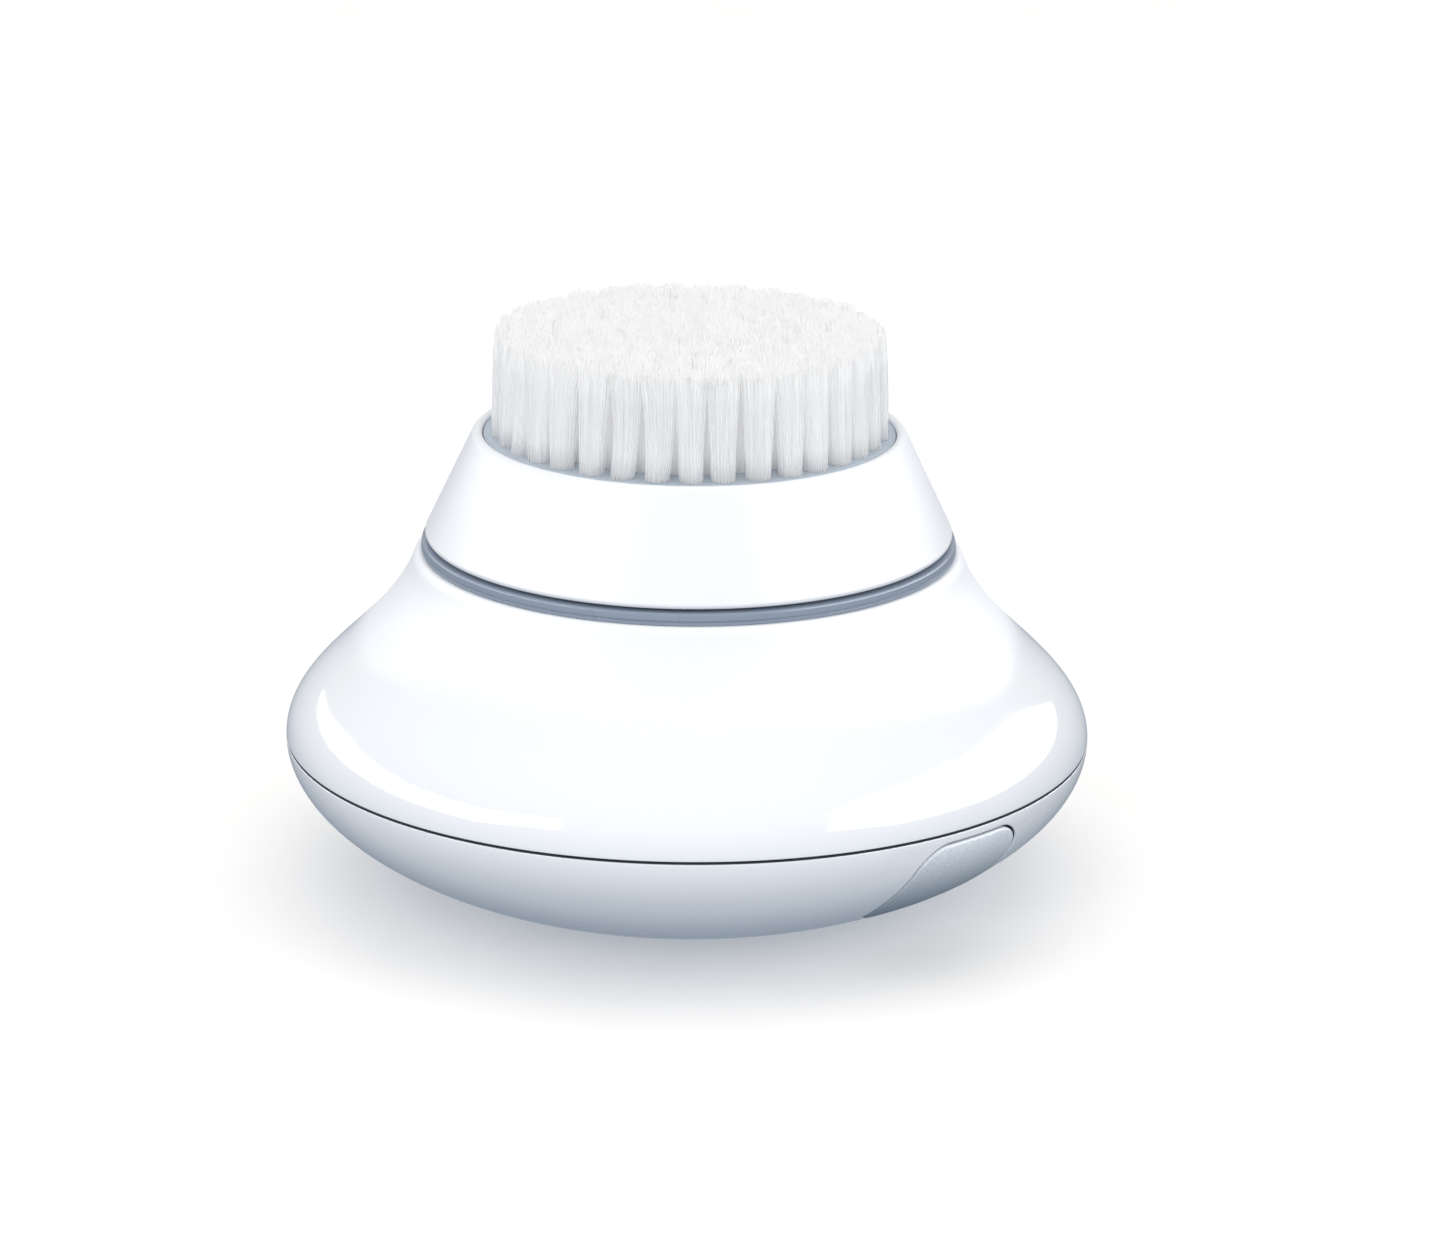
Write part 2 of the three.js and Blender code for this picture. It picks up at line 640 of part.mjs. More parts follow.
function batteryDoor() {
  const from = fractionWhere(lowerCurve, 0, (p) => p.x <= DOOR_R);
  const lipR = boreR - DOOR_GAP;
  const innerFrom = fractionWhere(lowerCurve, DOOR_WALL, (p) => p.x <= lipR - DOOR_LIP);
  const outer = stretch(lowerCurve, from, 1, 0, 4);
  const inner = stretch(lowerCurve, innerFrom, 1, DOOR_WALL, 3).reverse();
  const profile = [
    point(0, 0),
    ...outer.reverse(),
    point(DOOR_R, flangeZ),
    point(lipR, flangeZ),
    point(lipR, ringZ - GROOVE_H / 2),
    point(lipR - GROOVE_DEPTH, ringZ - GROOVE_H / 2),
    point(lipR - GROOVE_DEPTH, ringZ + GROOVE_H / 2),
    point(lipR, ringZ + GROOVE_H / 2),
    point(lipR, lipTop),
    point(lipR - DOOR_LIP, lipTop),
    ...inner.reverse(),
    point(0, DOOR_WALL),
  ];
  const notch = block(-NOTCH_W / 2, NOTCH_W / 2, lipR + SEAT, DOOR_R + 1, 0, flangeZ + 0.5);
  return carve(turned(profile, BIG), [], [notch]);
}

function oRing(radius, sectionR, z) {
  const sides = 6;
  const profile = [];
  for (let i = 0; i <= sides; i += 1) {
    const turn = (2 * Math.PI * i) / sides;
    profile.push(point(radius + sectionR * Math.cos(turn), z + sectionR * Math.sin(turn)));
  }
  return turned(profile, BIG);
}

// ---------------------------------------------------------------- button, switch and board
function powerButton() {
  const stem = pushed(rod(STEM_R, PAD_T * 0.5, plungerZ - SEAT, SMALL));
  return carve(surfacePatch(0, 0, PAD_T), [stem], []);
}

function buttonBoot() {
  const hole = STEM_R + STEM_CLEAR;
  const profile = [
    point(hole, pocketBack + 0.1),
    point(bootR, pocketBack + 0.1),
    point(bootR, pocketBack + 0.7),
    point(hole + 0.8, bootBack),
    point(hole, bootBack),
    point(hole, pocketBack + 0.1),
  ];
  return pushed(turned(profile, SMALL));
}

function tactSwitch() {
  const half = SWITCH_SIZE / 2;
  const bezel = rod(SWITCH_SIZE * 0.36, switchZ - 0.2, switchZ + 0.5, SMALL);
  return pushed(carve(block(-half, half, -half, half, switchZ, boardZ - SEAT), [bezel], []));
}

// ---------------------------------------------------------------- chassis, cells and contacts
const endWall = CELL_L / 2 + CONTACT_ROOM;
const tabHalf = 3.2;
const leadY = -endWall + 1.6;

function chassis() {
  const top = chassisZ + CHASSIS_T;
  const plate = roundedPlate(SHELL_SCREW_X + 3.6, SHELL_SCREW_Y + 3.4, 3, chassisZ, top);
  const spine = roundedPlate(2 * CELL_R + 0.6, endWall + 1.5, 4, chassisZ, top);
  const walls = [];
  for (const side of [1, -1]) {
    const [near, far] = [side * endWall, side * (endWall + 1.5)];
    walls.push(block(-13, 13, Math.min(near, far), Math.max(near, far), BORE_TOP + 1.2, chassisZ + 0.5));
    const [rail, edge] = [side * (2 * CELL_R + 0.45), side * (2 * CELL_R + 1.65)];
    walls.push(block(Math.min(rail, edge), Math.max(rail, edge), -12, 12, cellZ + 1, chassisZ + 0.5));
  }
  // a round pad takes the motor's end cap
  const motorPad = tube(MOTOR_R - 4, MOTOR_R - 1.5, top - 0.3, motorBottom - SEAT, MEDIUM);
  walls.push(motorPad.translate(0, MOTOR_OFFSET, 0));
  const holes = shellScrewPlaces.map(([x, y]) => (
    rod(SHELL_SCREW_R + 0.2, chassisZ - 1, top + 1, SMALL).translate(x, y, 0)
  ));
  const leadHoles = [-1, 1].map((side) => (
    rod(LEAD_R + 0.8, chassisZ - 1, top + 1, SMALL).translate(side * cellX, leadY, 0)
  ));
  return carve(plate, [spine, ...walls], [...holes, ...leadHoles]);
}

// an AA cell along Y; its positive end is at +Y
function cell() {
  const half = CELL_L / 2;
  const profile = [
    point(0, -half),
    point(CELL_R - 0.8, -half),
    point(CELL_R, -half + 0.6),
    point(CELL_R, half - 1.8),
    point(CELL_R - 0.7, half - 1.2),
    point(2.6, half - 1.2),
    point(2.6, half),
    point(0, half),
  ];
  return turned(profile, MEDIUM).rotateX(-Math.PI / 2);
}

function contactTab(halfX, y0, y1) {
  return block(-halfX, halfX, y0, y1, cellZ - tabHalf, cellZ + tabHalf);
}

const contactSpring = () => swept(new ConeHelix(3.4, 1.6, CONTACT_ROOM - 1.3, 2.5), 0.3, 3, 26);

// ---------------------------------------------------------------- motor and gear train
function motorCan() {
  const profile = [
    point(0, motorBottom + MOTOR_CAP_H + SEAT),
    point(MOTOR_R, motorBottom + MOTOR_CAP_H + SEAT),
    point(MOTOR_R, motorTop - 0.8),
    point(MOTOR_R - 0.8, motorTop - SEAT),
    point(3, motorTop - SEAT),
    point(3, motorTop + 0.6),
    point(MOTOR_SHAFT_R + RUNNING, motorTop + 0.6),
    point(MOTOR_SHAFT_R + RUNNING, motorTop - 2),
    point(0, motorTop - 2),
  ];
  const screwHoles = [-1, 1].map((side) => (
    rod(MOTOR_SCREW_R + SEAT, motorTop - 3.2, motorTop + 1, SMALL).translate(side * MOTOR_SCREW_PITCH, 0, 0)
  ));
  return carve(turned(profile, MEDIUM), [], screwHoles);
}

function motorEndCap() {
  const top = motorBottom + MOTOR_CAP_H;
  const profile = [
    point(0, motorBottom),
    point(MOTOR_R - 1.2, motorBottom),
    point(MOTOR_R - 0.2, motorBottom + 1),
    point(MOTOR_R - 0.2, top),
    point(0, top),
  ];
  const terminals = [-1, 1].map((side) => (
    block(side * 5 - 1, side * 5 + 1, -MOTOR_R - 0.7, -MOTOR_R + 2, motorBottom + 1, motorBottom + 1.5)
  ));
  return carve(turned(profile, MEDIUM), terminals, []);
}

// a compound gear: the wide wheel below, the small pinion above
function idlerGear(wheelTurn, pinionTurn) {
  const wheel = gear(WHEEL_TEETH, wheelTurn, wheelZ, wheelZ + GEAR_T);
  const pinion = gear(PINION_TEETH, pinionTurn, wheelZ + GEAR_T * 0.5, outputZ + GEAR_T);
  const bore = rod(IDLER_PIN_R + RUNNING, wheelZ - 1, outputZ + GEAR_T + 1, MEDIUM);
  return carve(wheel, [pinion], [bore]);
}

function gearboxBase() {
  const disc = rod(neckInnerAt(DECK_Z) - 0.9, motorTop, basePlateTop, BIG);
  const cuts = [
    rod(SHAFT_R + BUSH_WALL + SEAT, motorTop - 1, basePlateTop + 1, MEDIUM),
    rod(3.3, motorTop - 1, basePlateTop + 1, MEDIUM).translate(0, MOTOR_OFFSET, 0),
    rod(IDLER_PIN_R + SEAT, motorTop - 1, basePlateTop + 1, MEDIUM).translate(idlerX, idlerY, 0),
  ];
  for (const side of [-1, 1]) {
    const x = side * MOTOR_SCREW_PITCH;
    cuts.push(rod(MOTOR_SCREW_R + 0.15, motorTop - 1, basePlateTop + 1, SMALL).translate(x, MOTOR_OFFSET, 0));
    const head = rod(MOTOR_SCREW_R * SCREW_HEAD + 0.15, basePlateTop - MOTOR_SCREW_R * 1.2, basePlateTop + 1, SMALL);
    cuts.push(head.translate(x, MOTOR_OFFSET, 0));
  }
  for (const angle of GEARBOX_POST_ANGLES) {
    const [x, y] = [GEARBOX_POST_R * Math.cos(rad(angle)), GEARBOX_POST_R * Math.sin(rad(angle))];
    cuts.push(rod(GEARBOX_SCREW_R + 0.15, motorTop - 1, basePlateTop + 1, SMALL).translate(x, y, 0));
  }
  return carve(disc, [], cuts);
}

function bush(z0, z1) {
  return tube(SHAFT_R + RUNNING, SHAFT_R + BUSH_WALL, z0, z1, MEDIUM);
}

function outputGear(turn) {
  const bore = rod(SHAFT_R + SEAT, outputZ - 1, outputZ + GEAR_T + 1, MEDIUM);
  return carve(gear(OUTPUT_TEETH, turn, outputZ, outputZ + GEAR_T), [], [bore]);
}

function shaftSeal() {
  const z = neckTop + SEAT;
  const profile = [
    point(SHAFT_R + RUNNING, z),
    point(SHAFT_R + 2.2, z),
    point(SHAFT_R + 0.9, z + 0.5),
    point(SHAFT_R + RUNNING, z + 0.5),
    point(SHAFT_R + RUNNING, z),
  ];
  return turned(profile, MEDIUM);
}

const dogCorner = DOG_FLATS / Math.sqrt(3);
const gripZ = dogZ + 1.2;
const gripRing = () => tube(GRIP_R + SEAT, DOG_FLATS / 2 + DOG_CLEAR / 2, gripZ, gripZ + GRIP_T, MEDIUM);

function driveDog() {
  const bore = rod(SHAFT_R - 0.6 + SEAT, dogZ - 1, dogZ + DOG_H + 1, MEDIUM);
  const groove = tube(GRIP_R, dogCorner + 1, gripZ - SEAT, gripZ + GRIP_T + SEAT, MEDIUM);
  return carve(polygon(dogCorner, 6, dogZ, dogZ + DOG_H), [], [bore, groove]);
}

function outputShaft() {
  const step = dogZ - SEAT;
  const profile = [
    point(0, motorTop + 0.3),
    point(SHAFT_R, motorTop + 0.3),
    point(SHAFT_R, step),
    point(SHAFT_R - 0.6, step),
    point(SHAFT_R - 0.6, dogZ + DOG_H - 0.3),
    point(0, dogZ + DOG_H - 0.3),
  ];
  return turned(profile, MEDIUM);
}

// ---------------------------------------------------------------- brush head
function brushCone() {
  const rimOuter = coneOuterAt(rimTop - 0.6);
  const ledgeZ = plateBottom - 1;
  const profile = [
    point(CONE_FOOT_R - 0.35, coneFootZ),
    point(CONE_FOOT_R, coneFootZ + 0.45),
    point(rimOuter, rimTop - 0.6),
    point(rimOuter - 0.25, rimTop - 0.12),
    point(rimOuter - 0.6, rimTop),
    point(RIM_R + 0.25, rimTop - 0.2),
    point(RIM_R, rimTop - 0.6),
    point(RIM_R, plateBottom),
    point(RIM_R - 1.5, plateBottom),
    point(RIM_R - 1.5, ledgeZ),
    point(coneInnerAt(ledgeZ), ledgeZ - 0.2),
    point(coneInnerAt(coneFootZ), coneFootZ),
    point(CONE_FOOT_R - 0.35, coneFootZ),
  ];
  return turned(profile, BIG);
}

function tuftPlate() {
  const hubZ = dogZ + 0.3;
  const disc = rod(RIM_R - 0.1, plateBottom + SEAT, plateTop, BIG);
  const hub = rod(dogCorner + 2.4, hubZ, plateBottom + 0.5, MEDIUM);
  const socket = polygon(dogCorner + DOG_CLEAR, 6, hubZ - 1, dogZ + DOG_H + 0.3);
  return carve(disc, [hub], [socket]);
}

function bristleField() {
  const top = plateTop + TUFT_H;
  const profile = [
    point(0, plateTop + SEAT),
    point(TUFT_R, plateTop + SEAT),
    point(TUFT_R, top - 0.4),
    point(TUFT_R - 0.4, top),
    point(0, top),
  ];
  return turned(profile, BIG);
}

// ---------------------------------------------------------------- assembly
const housing = section();
place(housing, 'lower_shell', lowerShell(), glossWhite());
place(housing, 'upper_shell', upperShell(), glossWhite());
const gasketR = tongueR + 0.1;
const gasket = tube(gasketR, BODY_R - 0.8, SEAM_Z - SEAM_GAP / 2 + SEAT, SEAM_Z + SEAM_GAP / 2 - SEAT, BIG);
place(housing, 'shell_gasket', gasket, silicone());
place(housing, 'collar_ring', tube(neckOuterAt(DECK_Z) + 0.2, COLLAR_R, SEAT, COLLAR_H, BIG), greyBlue(), 0, 0, DECK_Z);
place(housing, 'battery_door', batteryDoor(), glossWhite());
place(housing, 'door_seal', oRing(boreR - 0.05 - ORING_R, ORING_R, ringZ), silicone());
shellScrewPlaces.forEach(([x, y], i) => {
  place(housing, `shell_screw_${i + 1}`, screwShape(SHELL_SCREW_R, 9), steel(), x, y, shelfZ - SEAT);
});

const controls = section();
place(controls, 'power_button', powerButton(), padGrey());
place(controls, 'button_boot', buttonBoot(), silicone());
place(controls, 'switch_plunger', pushed(rod(1.7, plungerZ, switchZ - 0.2 - SEAT - PAD_TRAVEL, SMALL)), switchBlack());
place(controls, 'tact_switch', tactSwitch(), switchBlack());
const halfW = BOARD_W / 2;
const halfL = BOARD_L / 2;
place(controls, 'switch_board', pushed(block(-halfW, halfW, -halfL, halfL, boardZ, boardZ + BOARD_T)), board());

const power = section(0, 0, 0);
place(power, 'chassis', chassis(), innerPlastic());
place(power, 'battery_1', cell(), cellJacket(), cellX, 0, cellZ);
const second = place(power, 'battery_2', cell(), cellJacket(), -cellX, 0, cellZ);
second.rotation.z = Math.PI;
const tabInner = endWall - 0.5;
const bridge = block(-cellX - 4, cellX + 4, tabInner, endWall - SEAT, cellZ - tabHalf, cellZ + tabHalf);
const bridgeBump = rod(2, 0, tabInner - CELL_L / 2 + 0.2 - SEAT, SMALL).rotateX(-Math.PI / 2);
place(power, 'bridge_contact', carve(bridge, [bridgeBump.translate(cellX, CELL_L / 2 + SEAT, cellZ)], []), steel());
place(power, 'bridge_spring', contactSpring().rotateZ(Math.PI), steel(), -cellX, tabInner - 0.35, cellZ);
const positiveTab = contactTab(4, -endWall + SEAT, -tabInner);
const bump = rod(2, 0, tabInner - CELL_L / 2 + 0.2 - SEAT, SMALL).rotateX(Math.PI / 2);
place(power, 'positive_contact', carve(positiveTab, [bump.translate(0, -CELL_L / 2 - SEAT, cellZ)], []), steel(), -cellX);
place(power, 'negative_contact', contactTab(4, -endWall + SEAT, -tabInner), steel(), cellX);
place(power, 'negative_spring', contactSpring(), steel(), cellX, -tabInner + 0.35, cellZ);

const motor = section(0, MOTOR_OFFSET, 0);
place(motor, 'motor_end_cap', motorEndCap(), innerPlastic());
place(motor, 'motor_can', motorCan(), steel());
place(motor, 'motor_shaft', rod(MOTOR_SHAFT_R, motorTop - 2 + SEAT, wheelZ + GEAR_T + 0.4, SMALL), steel());
// a tooth of each wheel points at its pinion, whose gap faces it
const towardMotor = Math.atan2(MOTOR_OFFSET - idlerY, -idlerX);
const towardOutput = Math.atan2(-idlerY, -idlerX);
const pinionPhase = towardMotor + Math.PI + Math.PI / PINION_TEETH;
const outputPhase = towardOutput + Math.PI + Math.PI / OUTPUT_TEETH;
const pinionBore = rod(MOTOR_SHAFT_R + SEAT, wheelZ - 1, wheelZ + GEAR_T + 1, SMALL);
const pinionGear = gear(PINION_TEETH, pinionPhase, wheelZ, wheelZ + GEAR_T);
place(motor, 'motor_pinion', carve(pinionGear, [], [pinionBore]), brass());
[-1, 1].forEach((side, i) => {
  const headDown = screwShape(MOTOR_SCREW_R, 3).rotateX(Math.PI);
  const seat = basePlateTop - MOTOR_SCREW_R * 1.2 + SEAT;
  place(motor, `motor_screw_${i + 1}`, headDown, steel(), side * MOTOR_SCREW_PITCH, 0, seat);
});

const gearbox = section();
place(gearbox, 'gearbox_base', gearboxBase(), innerPlastic());
const pinTop = neckTop - NECK_WALL - 0.3;
place(gearbox, 'idler_pin', rod(IDLER_PIN_R, motorTop + 0.1, pinTop, MEDIUM), steel(), idlerX, idlerY);
place(gearbox, 'idler_gear', idlerGear(towardMotor, towardOutput), acetal(), idlerX, idlerY);
place(gearbox, 'output_gear', outputGear(outputPhase), acetal());
const lowerBushTop = outputZ - 0.5;
place(gearbox, 'lower_bush', bush(motorTop + SEAT, lowerBushTop), bronze());
const washer = tube(SHAFT_R + RUNNING, SHAFT_R + BUSH_WALL, lowerBushTop + SEAT, outputZ - SEAT, MEDIUM);
place(gearbox, 'thrust_washer', washer, steel());
place(gearbox, 'upper_bush', bush(outputZ + GEAR_T + AXIAL, neckTop - SEAT), bronze());
place(gearbox, 'output_shaft', outputShaft(), steel());
place(gearbox, 'shaft_seal', shaftSeal(), silicone());
place(gearbox, 'drive_dog', driveDog(), acetal());
place(gearbox, 'grip_ring', gripRing(), silicone());
GEARBOX_POST_ANGLES.forEach((angle, i) => {
  const [x, y] = [GEARBOX_POST_R * Math.cos(rad(angle)), GEARBOX_POST_R * Math.sin(rad(angle))];
  place(gearbox, `gearbox_screw_${i + 1}`, screwShape(GEARBOX_SCREW_R, 6), steel(), x, y, motorTop - SEAT);
});

// leads from the contacts up through the chassis to the switch and the motor's terminals
const wiring = section();
const onBoard = (across) => {
  const near = new THREE.Vector3(across, 1, boardZ + BOARD_T + 0.3).applyMatrix4(pushFrame);
  const off = new THREE.Vector3(across, 1, boardZ + BOARD_T + 3).applyMatrix4(pushFrame);
  return [near.toArray(), off.toArray()];
};
const leadTop = chassisZ + CHASSIS_T + 1.6;
const terminalY = MOTOR_OFFSET - MOTOR_R - 1;
const terminalZ = motorBottom + 1.25;
const riser = (x) => [[x, leadY, cellZ + tabHalf + 0.4], [x, leadY, chassisZ + CHASSIS_T], [x, leadY + 3, leadTop]];
const [switchIn, switchInOff] = onBoard(-2.5);
const [switchOut, switchOutOff] = onBoard(2.5);
const blackRun = [...riser(cellX), [cellX + 6, leadY + 5, leadTop + 0.5], switchInOff, switchIn];
const switchRun = [switchOut, switchOutOff, [15, -9, leadTop + 1.4], [6, terminalY - 4, leadTop], [5, terminalY, terminalZ]];
const redRun = [...riser(-cellX), [-cellX, -12, leadTop], [-5, terminalY - 4, leadTop], [-5, terminalY, terminalZ]];
place(wiring, 'lead_negative', wire(blackRun, LEAD_R), blackLead());
place(wiring, 'lead_switched', wire(switchRun, LEAD_R), blackLead());
place(wiring, 'lead_positive', wire(redRun, LEAD_R), redLead());

const head = section();
place(head, 'brush_cone', brushCone(), glossWhite());
place(head, 'tuft_plate', tuftPlate(), plateGrey());
place(head, 'bristle_field', bristleField(), nylon());

export default brush;
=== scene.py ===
# %% [markdown]
# # A facial cleansing brush, piece by piece
#
# The brush is a round, palm-sized body made of two glossy shells, with a turning brush head on top.
# The engineering model already says where every piece is and how it moves. This notebook loads it as a
# fixed frame and then gives each piece its finished shape and finish. Every size below either comes
# from that frame or is a named value in millimetres.

# %% Load the frame
import json
import math

import bmesh
import bpy
import numpy as np
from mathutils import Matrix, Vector


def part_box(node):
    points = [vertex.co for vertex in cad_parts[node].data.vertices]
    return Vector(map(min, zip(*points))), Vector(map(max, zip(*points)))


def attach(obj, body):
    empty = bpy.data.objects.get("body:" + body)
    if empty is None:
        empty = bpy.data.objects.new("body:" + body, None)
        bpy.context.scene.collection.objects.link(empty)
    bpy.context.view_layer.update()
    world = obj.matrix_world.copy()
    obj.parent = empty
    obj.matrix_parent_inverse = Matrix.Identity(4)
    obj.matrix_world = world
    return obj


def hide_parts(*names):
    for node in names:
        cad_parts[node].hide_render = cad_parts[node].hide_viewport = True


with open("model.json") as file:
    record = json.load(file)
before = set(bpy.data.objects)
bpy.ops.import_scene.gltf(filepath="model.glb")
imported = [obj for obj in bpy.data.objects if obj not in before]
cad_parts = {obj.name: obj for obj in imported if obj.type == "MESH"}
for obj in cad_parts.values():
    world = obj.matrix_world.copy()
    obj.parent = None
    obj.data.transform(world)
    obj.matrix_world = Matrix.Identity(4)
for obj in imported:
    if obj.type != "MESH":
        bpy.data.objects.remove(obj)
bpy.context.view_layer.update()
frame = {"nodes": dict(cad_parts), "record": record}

nodes = frame["nodes"]
print("frame holds", len(nodes), "nodes")

# %% [markdown]
# ## Sizes
#
# Blender works in metres, but a brush is easier to think about in millimetres. So outlines are written
# in millimetres and scaled once, when a mesh is made. `low` and `high` read a node's box, which keeps
# every new piece exactly where the frame has it.

# %% Millimetres and node boxes
MM = 0.001


def low(node):
    return [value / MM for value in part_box(node)[0]]


def high(node):
    return [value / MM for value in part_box(node)[1]]


SEAM_Z = (low("shell_gasket")[2] + high("shell_gasket")[2]) / 2
BODY_R = high("lower_shell")[0]
DECK_Z = low("collar_ring")[2]
COLLAR_TOP = high("collar_ring")[2]
COLLAR_R = high("collar_ring")[0]
CONE_FOOT = low("brush_cone")[2]
CONE_TOP = high("brush_cone")[2]
CONE_R = high("brush_cone")[0]
PLATE_TOP = high("tuft_plate")[2]
PLATE_R = high("tuft_plate")[0]
TUFT_TOP = high("bristle_field")[2]
TUFT_R = high("bristle_field")[0]
DOOR_R = high("battery_door")[0]
NECK_TOP = high("upper_shell")[2]
print("body", round(2 * BODY_R, 1), "mm across,", round(TUFT_TOP, 1), "mm tall")

# %% [markdown]
# ## Camera
#
# A long lens from a little above keeps the round outlines calm and only slightly foreshortened. The
# camera aims just above and beside the brush, which places the brush low in the frame without using
# any lens shift.

# %% Camera
CAMERA_DISTANCE = 557 * MM
CAMERA_ELEVATION = math.radians(18.53)
LENS = 128.9
AIM_UP = math.radians(1.142)
AIM_RIGHT = math.radians(0.40)
CAMERA_ROLL = math.radians(0.6)

camera_data = bpy.data.cameras.new("camera")
camera_data.lens = LENS
camera_data.sensor_width = 36
camera = bpy.data.objects.new("camera", camera_data)
bpy.context.scene.collection.objects.link(camera)
seam_centre = Vector((0, 0, SEAM_Z * MM))
camera.location = seam_centre + CAMERA_DISTANCE * Vector(
    (0, -math.cos(CAMERA_ELEVATION), math.sin(CAMERA_ELEVATION))
)
pitch = math.pi / 2 - CAMERA_ELEVATION + AIM_UP
camera.rotation_mode = "QUATERNION"
facing = Vector((math.sin(AIM_RIGHT), math.cos(AIM_RIGHT), 0)) * math.sin(pitch)
facing.z = -math.cos(pitch)
camera.rotation_quaternion = facing.to_track_quat("-Z", "Y")
camera.rotation_mode = "XYZ"
bpy.context.scene.camera = camera
camera.rotation_euler.rotate_axis("Z", CAMERA_ROLL)
print("camera", [round(value, 4) for value in camera.location])

# %% [markdown]
# ## Outlines
#
# Almost every piece of this brush is turned about one axis, so its shape is an outline of radius and
# height. Three kinds of line are enough: straight runs, corners rounded by an arc, and the two long
# curves of the shells. A curve is a cubic Bezier, read by distance along it, because spacing the points
# evenly gives an even mesh.

# %% Curves read by distance
class ShellCurve:
    """A cubic Bezier in (radius, height), read by distance along it in millimetres."""

    def __init__(self, corners, side):
        t = np.linspace(0, 1, 2001)[:, None]
        a, b, c, d = (np.array(corner, float) for corner in corners)
        self.points = (1 - t) ** 3 * a + 3 * (1 - t) ** 2 * t * b + 3 * (1 - t) * t**2 * c + t**3 * d
        steps = np.hypot(*np.diff(self.points, axis=0).T)
        self.run = np.concatenate([[0], np.cumsum(steps)])
        self.length = self.run[-1]
        along = np.gradient(self.points, axis=0)
        along /= np.hypot(*along.T)[:, None]
        self.inward = side * np.stack([-along[:, 1], along[:, 0]], axis=1)

    def at(self, run, depth=0.0):
        place = [np.interp(run, self.run, self.points[:, k]) for k in (0, 1)]
        inward = [np.interp(run, self.run, self.inward[:, k]) for k in (0, 1)]
        return np.stack([place[0] + depth * inward[0], place[1] + depth * inward[1]], axis=-1)

    def where(self, axis, value, depth=0.0):
        """The run at which radius (0) or height (1) first passes a value."""
        values = self.at(self.run, depth)[:, axis] - value
        crossing = np.nonzero(np.sign(values[:-1]) != np.sign(values[1:]))[0]
        return self.run[crossing[0]]

    def between(self, start, end, count, depth=0.0):
        return [tuple(p) for p in self.at(np.linspace(start, end, count), depth)]


BASE_R = 17.0
DECK_R = 28.9
lower_curve = ShellCurve(
    [(BODY_R, SEAM_Z), (BODY_R, 0.47 * SEAM_Z), (BASE_R + 9.7, 0), (BASE_R, 0)], side=-1
)
upper_curve = ShellCurve(
    [(BODY_R, SEAM_Z), (BODY_R, SEAM_Z + 6.8), (DECK_R + 3.4, SEAM_Z + 10.2), (DECK_R + 0.2, DECK_Z - 0.32)],
    side=1,
)
print("shell curves", round(lower_curve.length, 1), "and", round(upper_curve.length, 1), "mm long")


# %% Rounded corners
def rounded(corners, steps=5):
    """An outline whose (radius, height, fillet) corners are rounded by arcs."""
    outline = []
    count = len(corners)
    for i, corner in enumerate(corners):
        here = np.array(corner[:2], float)
        fillet = corner[2] if len(corner) > 2 else 0
        if fillet <= 0 or i in (0, count - 1):
            outline.append(tuple(here))
            continue
        to_last = np.array(corners[i - 1][:2], float) - here
        to_next = np.array(corners[i + 1][:2], float) - here
        last_length, next_length = np.hypot(*to_last), np.hypot(*to_next)
        to_last /= last_length
        to_next /= next_length
        half = math.acos(np.clip(to_last @ to_next, -1, 1)) / 2
        reach = min(fillet / math.tan(half), 0.49 * last_length, 0.49 * next_length)
        radius = reach * math.tan(half)
        middle = to_last + to_next
        centre = here + middle / np.hypot(*middle) * (radius / math.sin(half))
        start, end = here + to_last * reach - centre, here + to_next * reach - centre
        sweep = math.pi - 2 * half
        for k in range(steps + 1):
            share = k / steps
            blend = (math.sin((1 - share) * sweep) * start + math.sin(share * sweep) * end) / math.sin(sweep)
            outline.append(tuple(centre + blend))
    return outline


# %% Making meshes
SEGMENTS = 256
SHARP_ANGLE = math.radians(38)


def finished(name, points, faces, marks=None):
    """A mesh object from millimetre points, its faces turned outwards and smooth between edges.

    marks gives each face the number of its material, for a piece that has two; on this brush the second is
    painted shade in gaps."""
    mesh = bpy.data.meshes.new(name)
    mesh.from_pydata([tuple(p) for p in np.asarray(points, float) * MM], [], faces)
    if marks is not None:
        mesh.polygons.foreach_set("material_index", np.array(marks, dtype=np.int32))
    work = bmesh.new()
    work.from_mesh(mesh)
    bmesh.ops.remove_doubles(work, verts=work.verts, dist=1e-7)
    bmesh.ops.recalc_face_normals(work, faces=work.faces)
    work.to_mesh(mesh)
    work.free()
    mesh.shade_smooth()
    mesh.set_sharp_from_angle(angle=SHARP_ANGLE)
    piece = bpy.data.objects.new(name, mesh)
    bpy.context.scene.collection.objects.link(piece)
    return piece


def turned_parts(outline, closed=True):
    """Points and faces of an outline turned about the brush's axis."""
    points, faces, rings = [], [], []
    for radius, height in outline:
        if radius < 1e-6:
            rings.append([len(points)])
            points.append((0, 0, height))
            continue
        rings.append([len(points) + k for k in range(SEGMENTS)])
        for k in range(SEGMENTS):
            turn = 2 * math.pi * k / SEGMENTS
            points.append((radius * math.cos(turn), radius * math.sin(turn), height))
    pairs = list(zip(rings, rings[1:]))
    if closed:
        pairs.append((rings[-1], rings[0]))
    for a, b in pairs:
        for k in range(SEGMENTS):
            n = (k + 1) % SEGMENTS
            corners = [a[k % len(a)], a[n % len(a)], b[n % len(b)], b[k % len(b)]]
            face = list(dict.fromkeys(corners))
            if len(face) > 2:
                faces.append(face)
    return points, faces


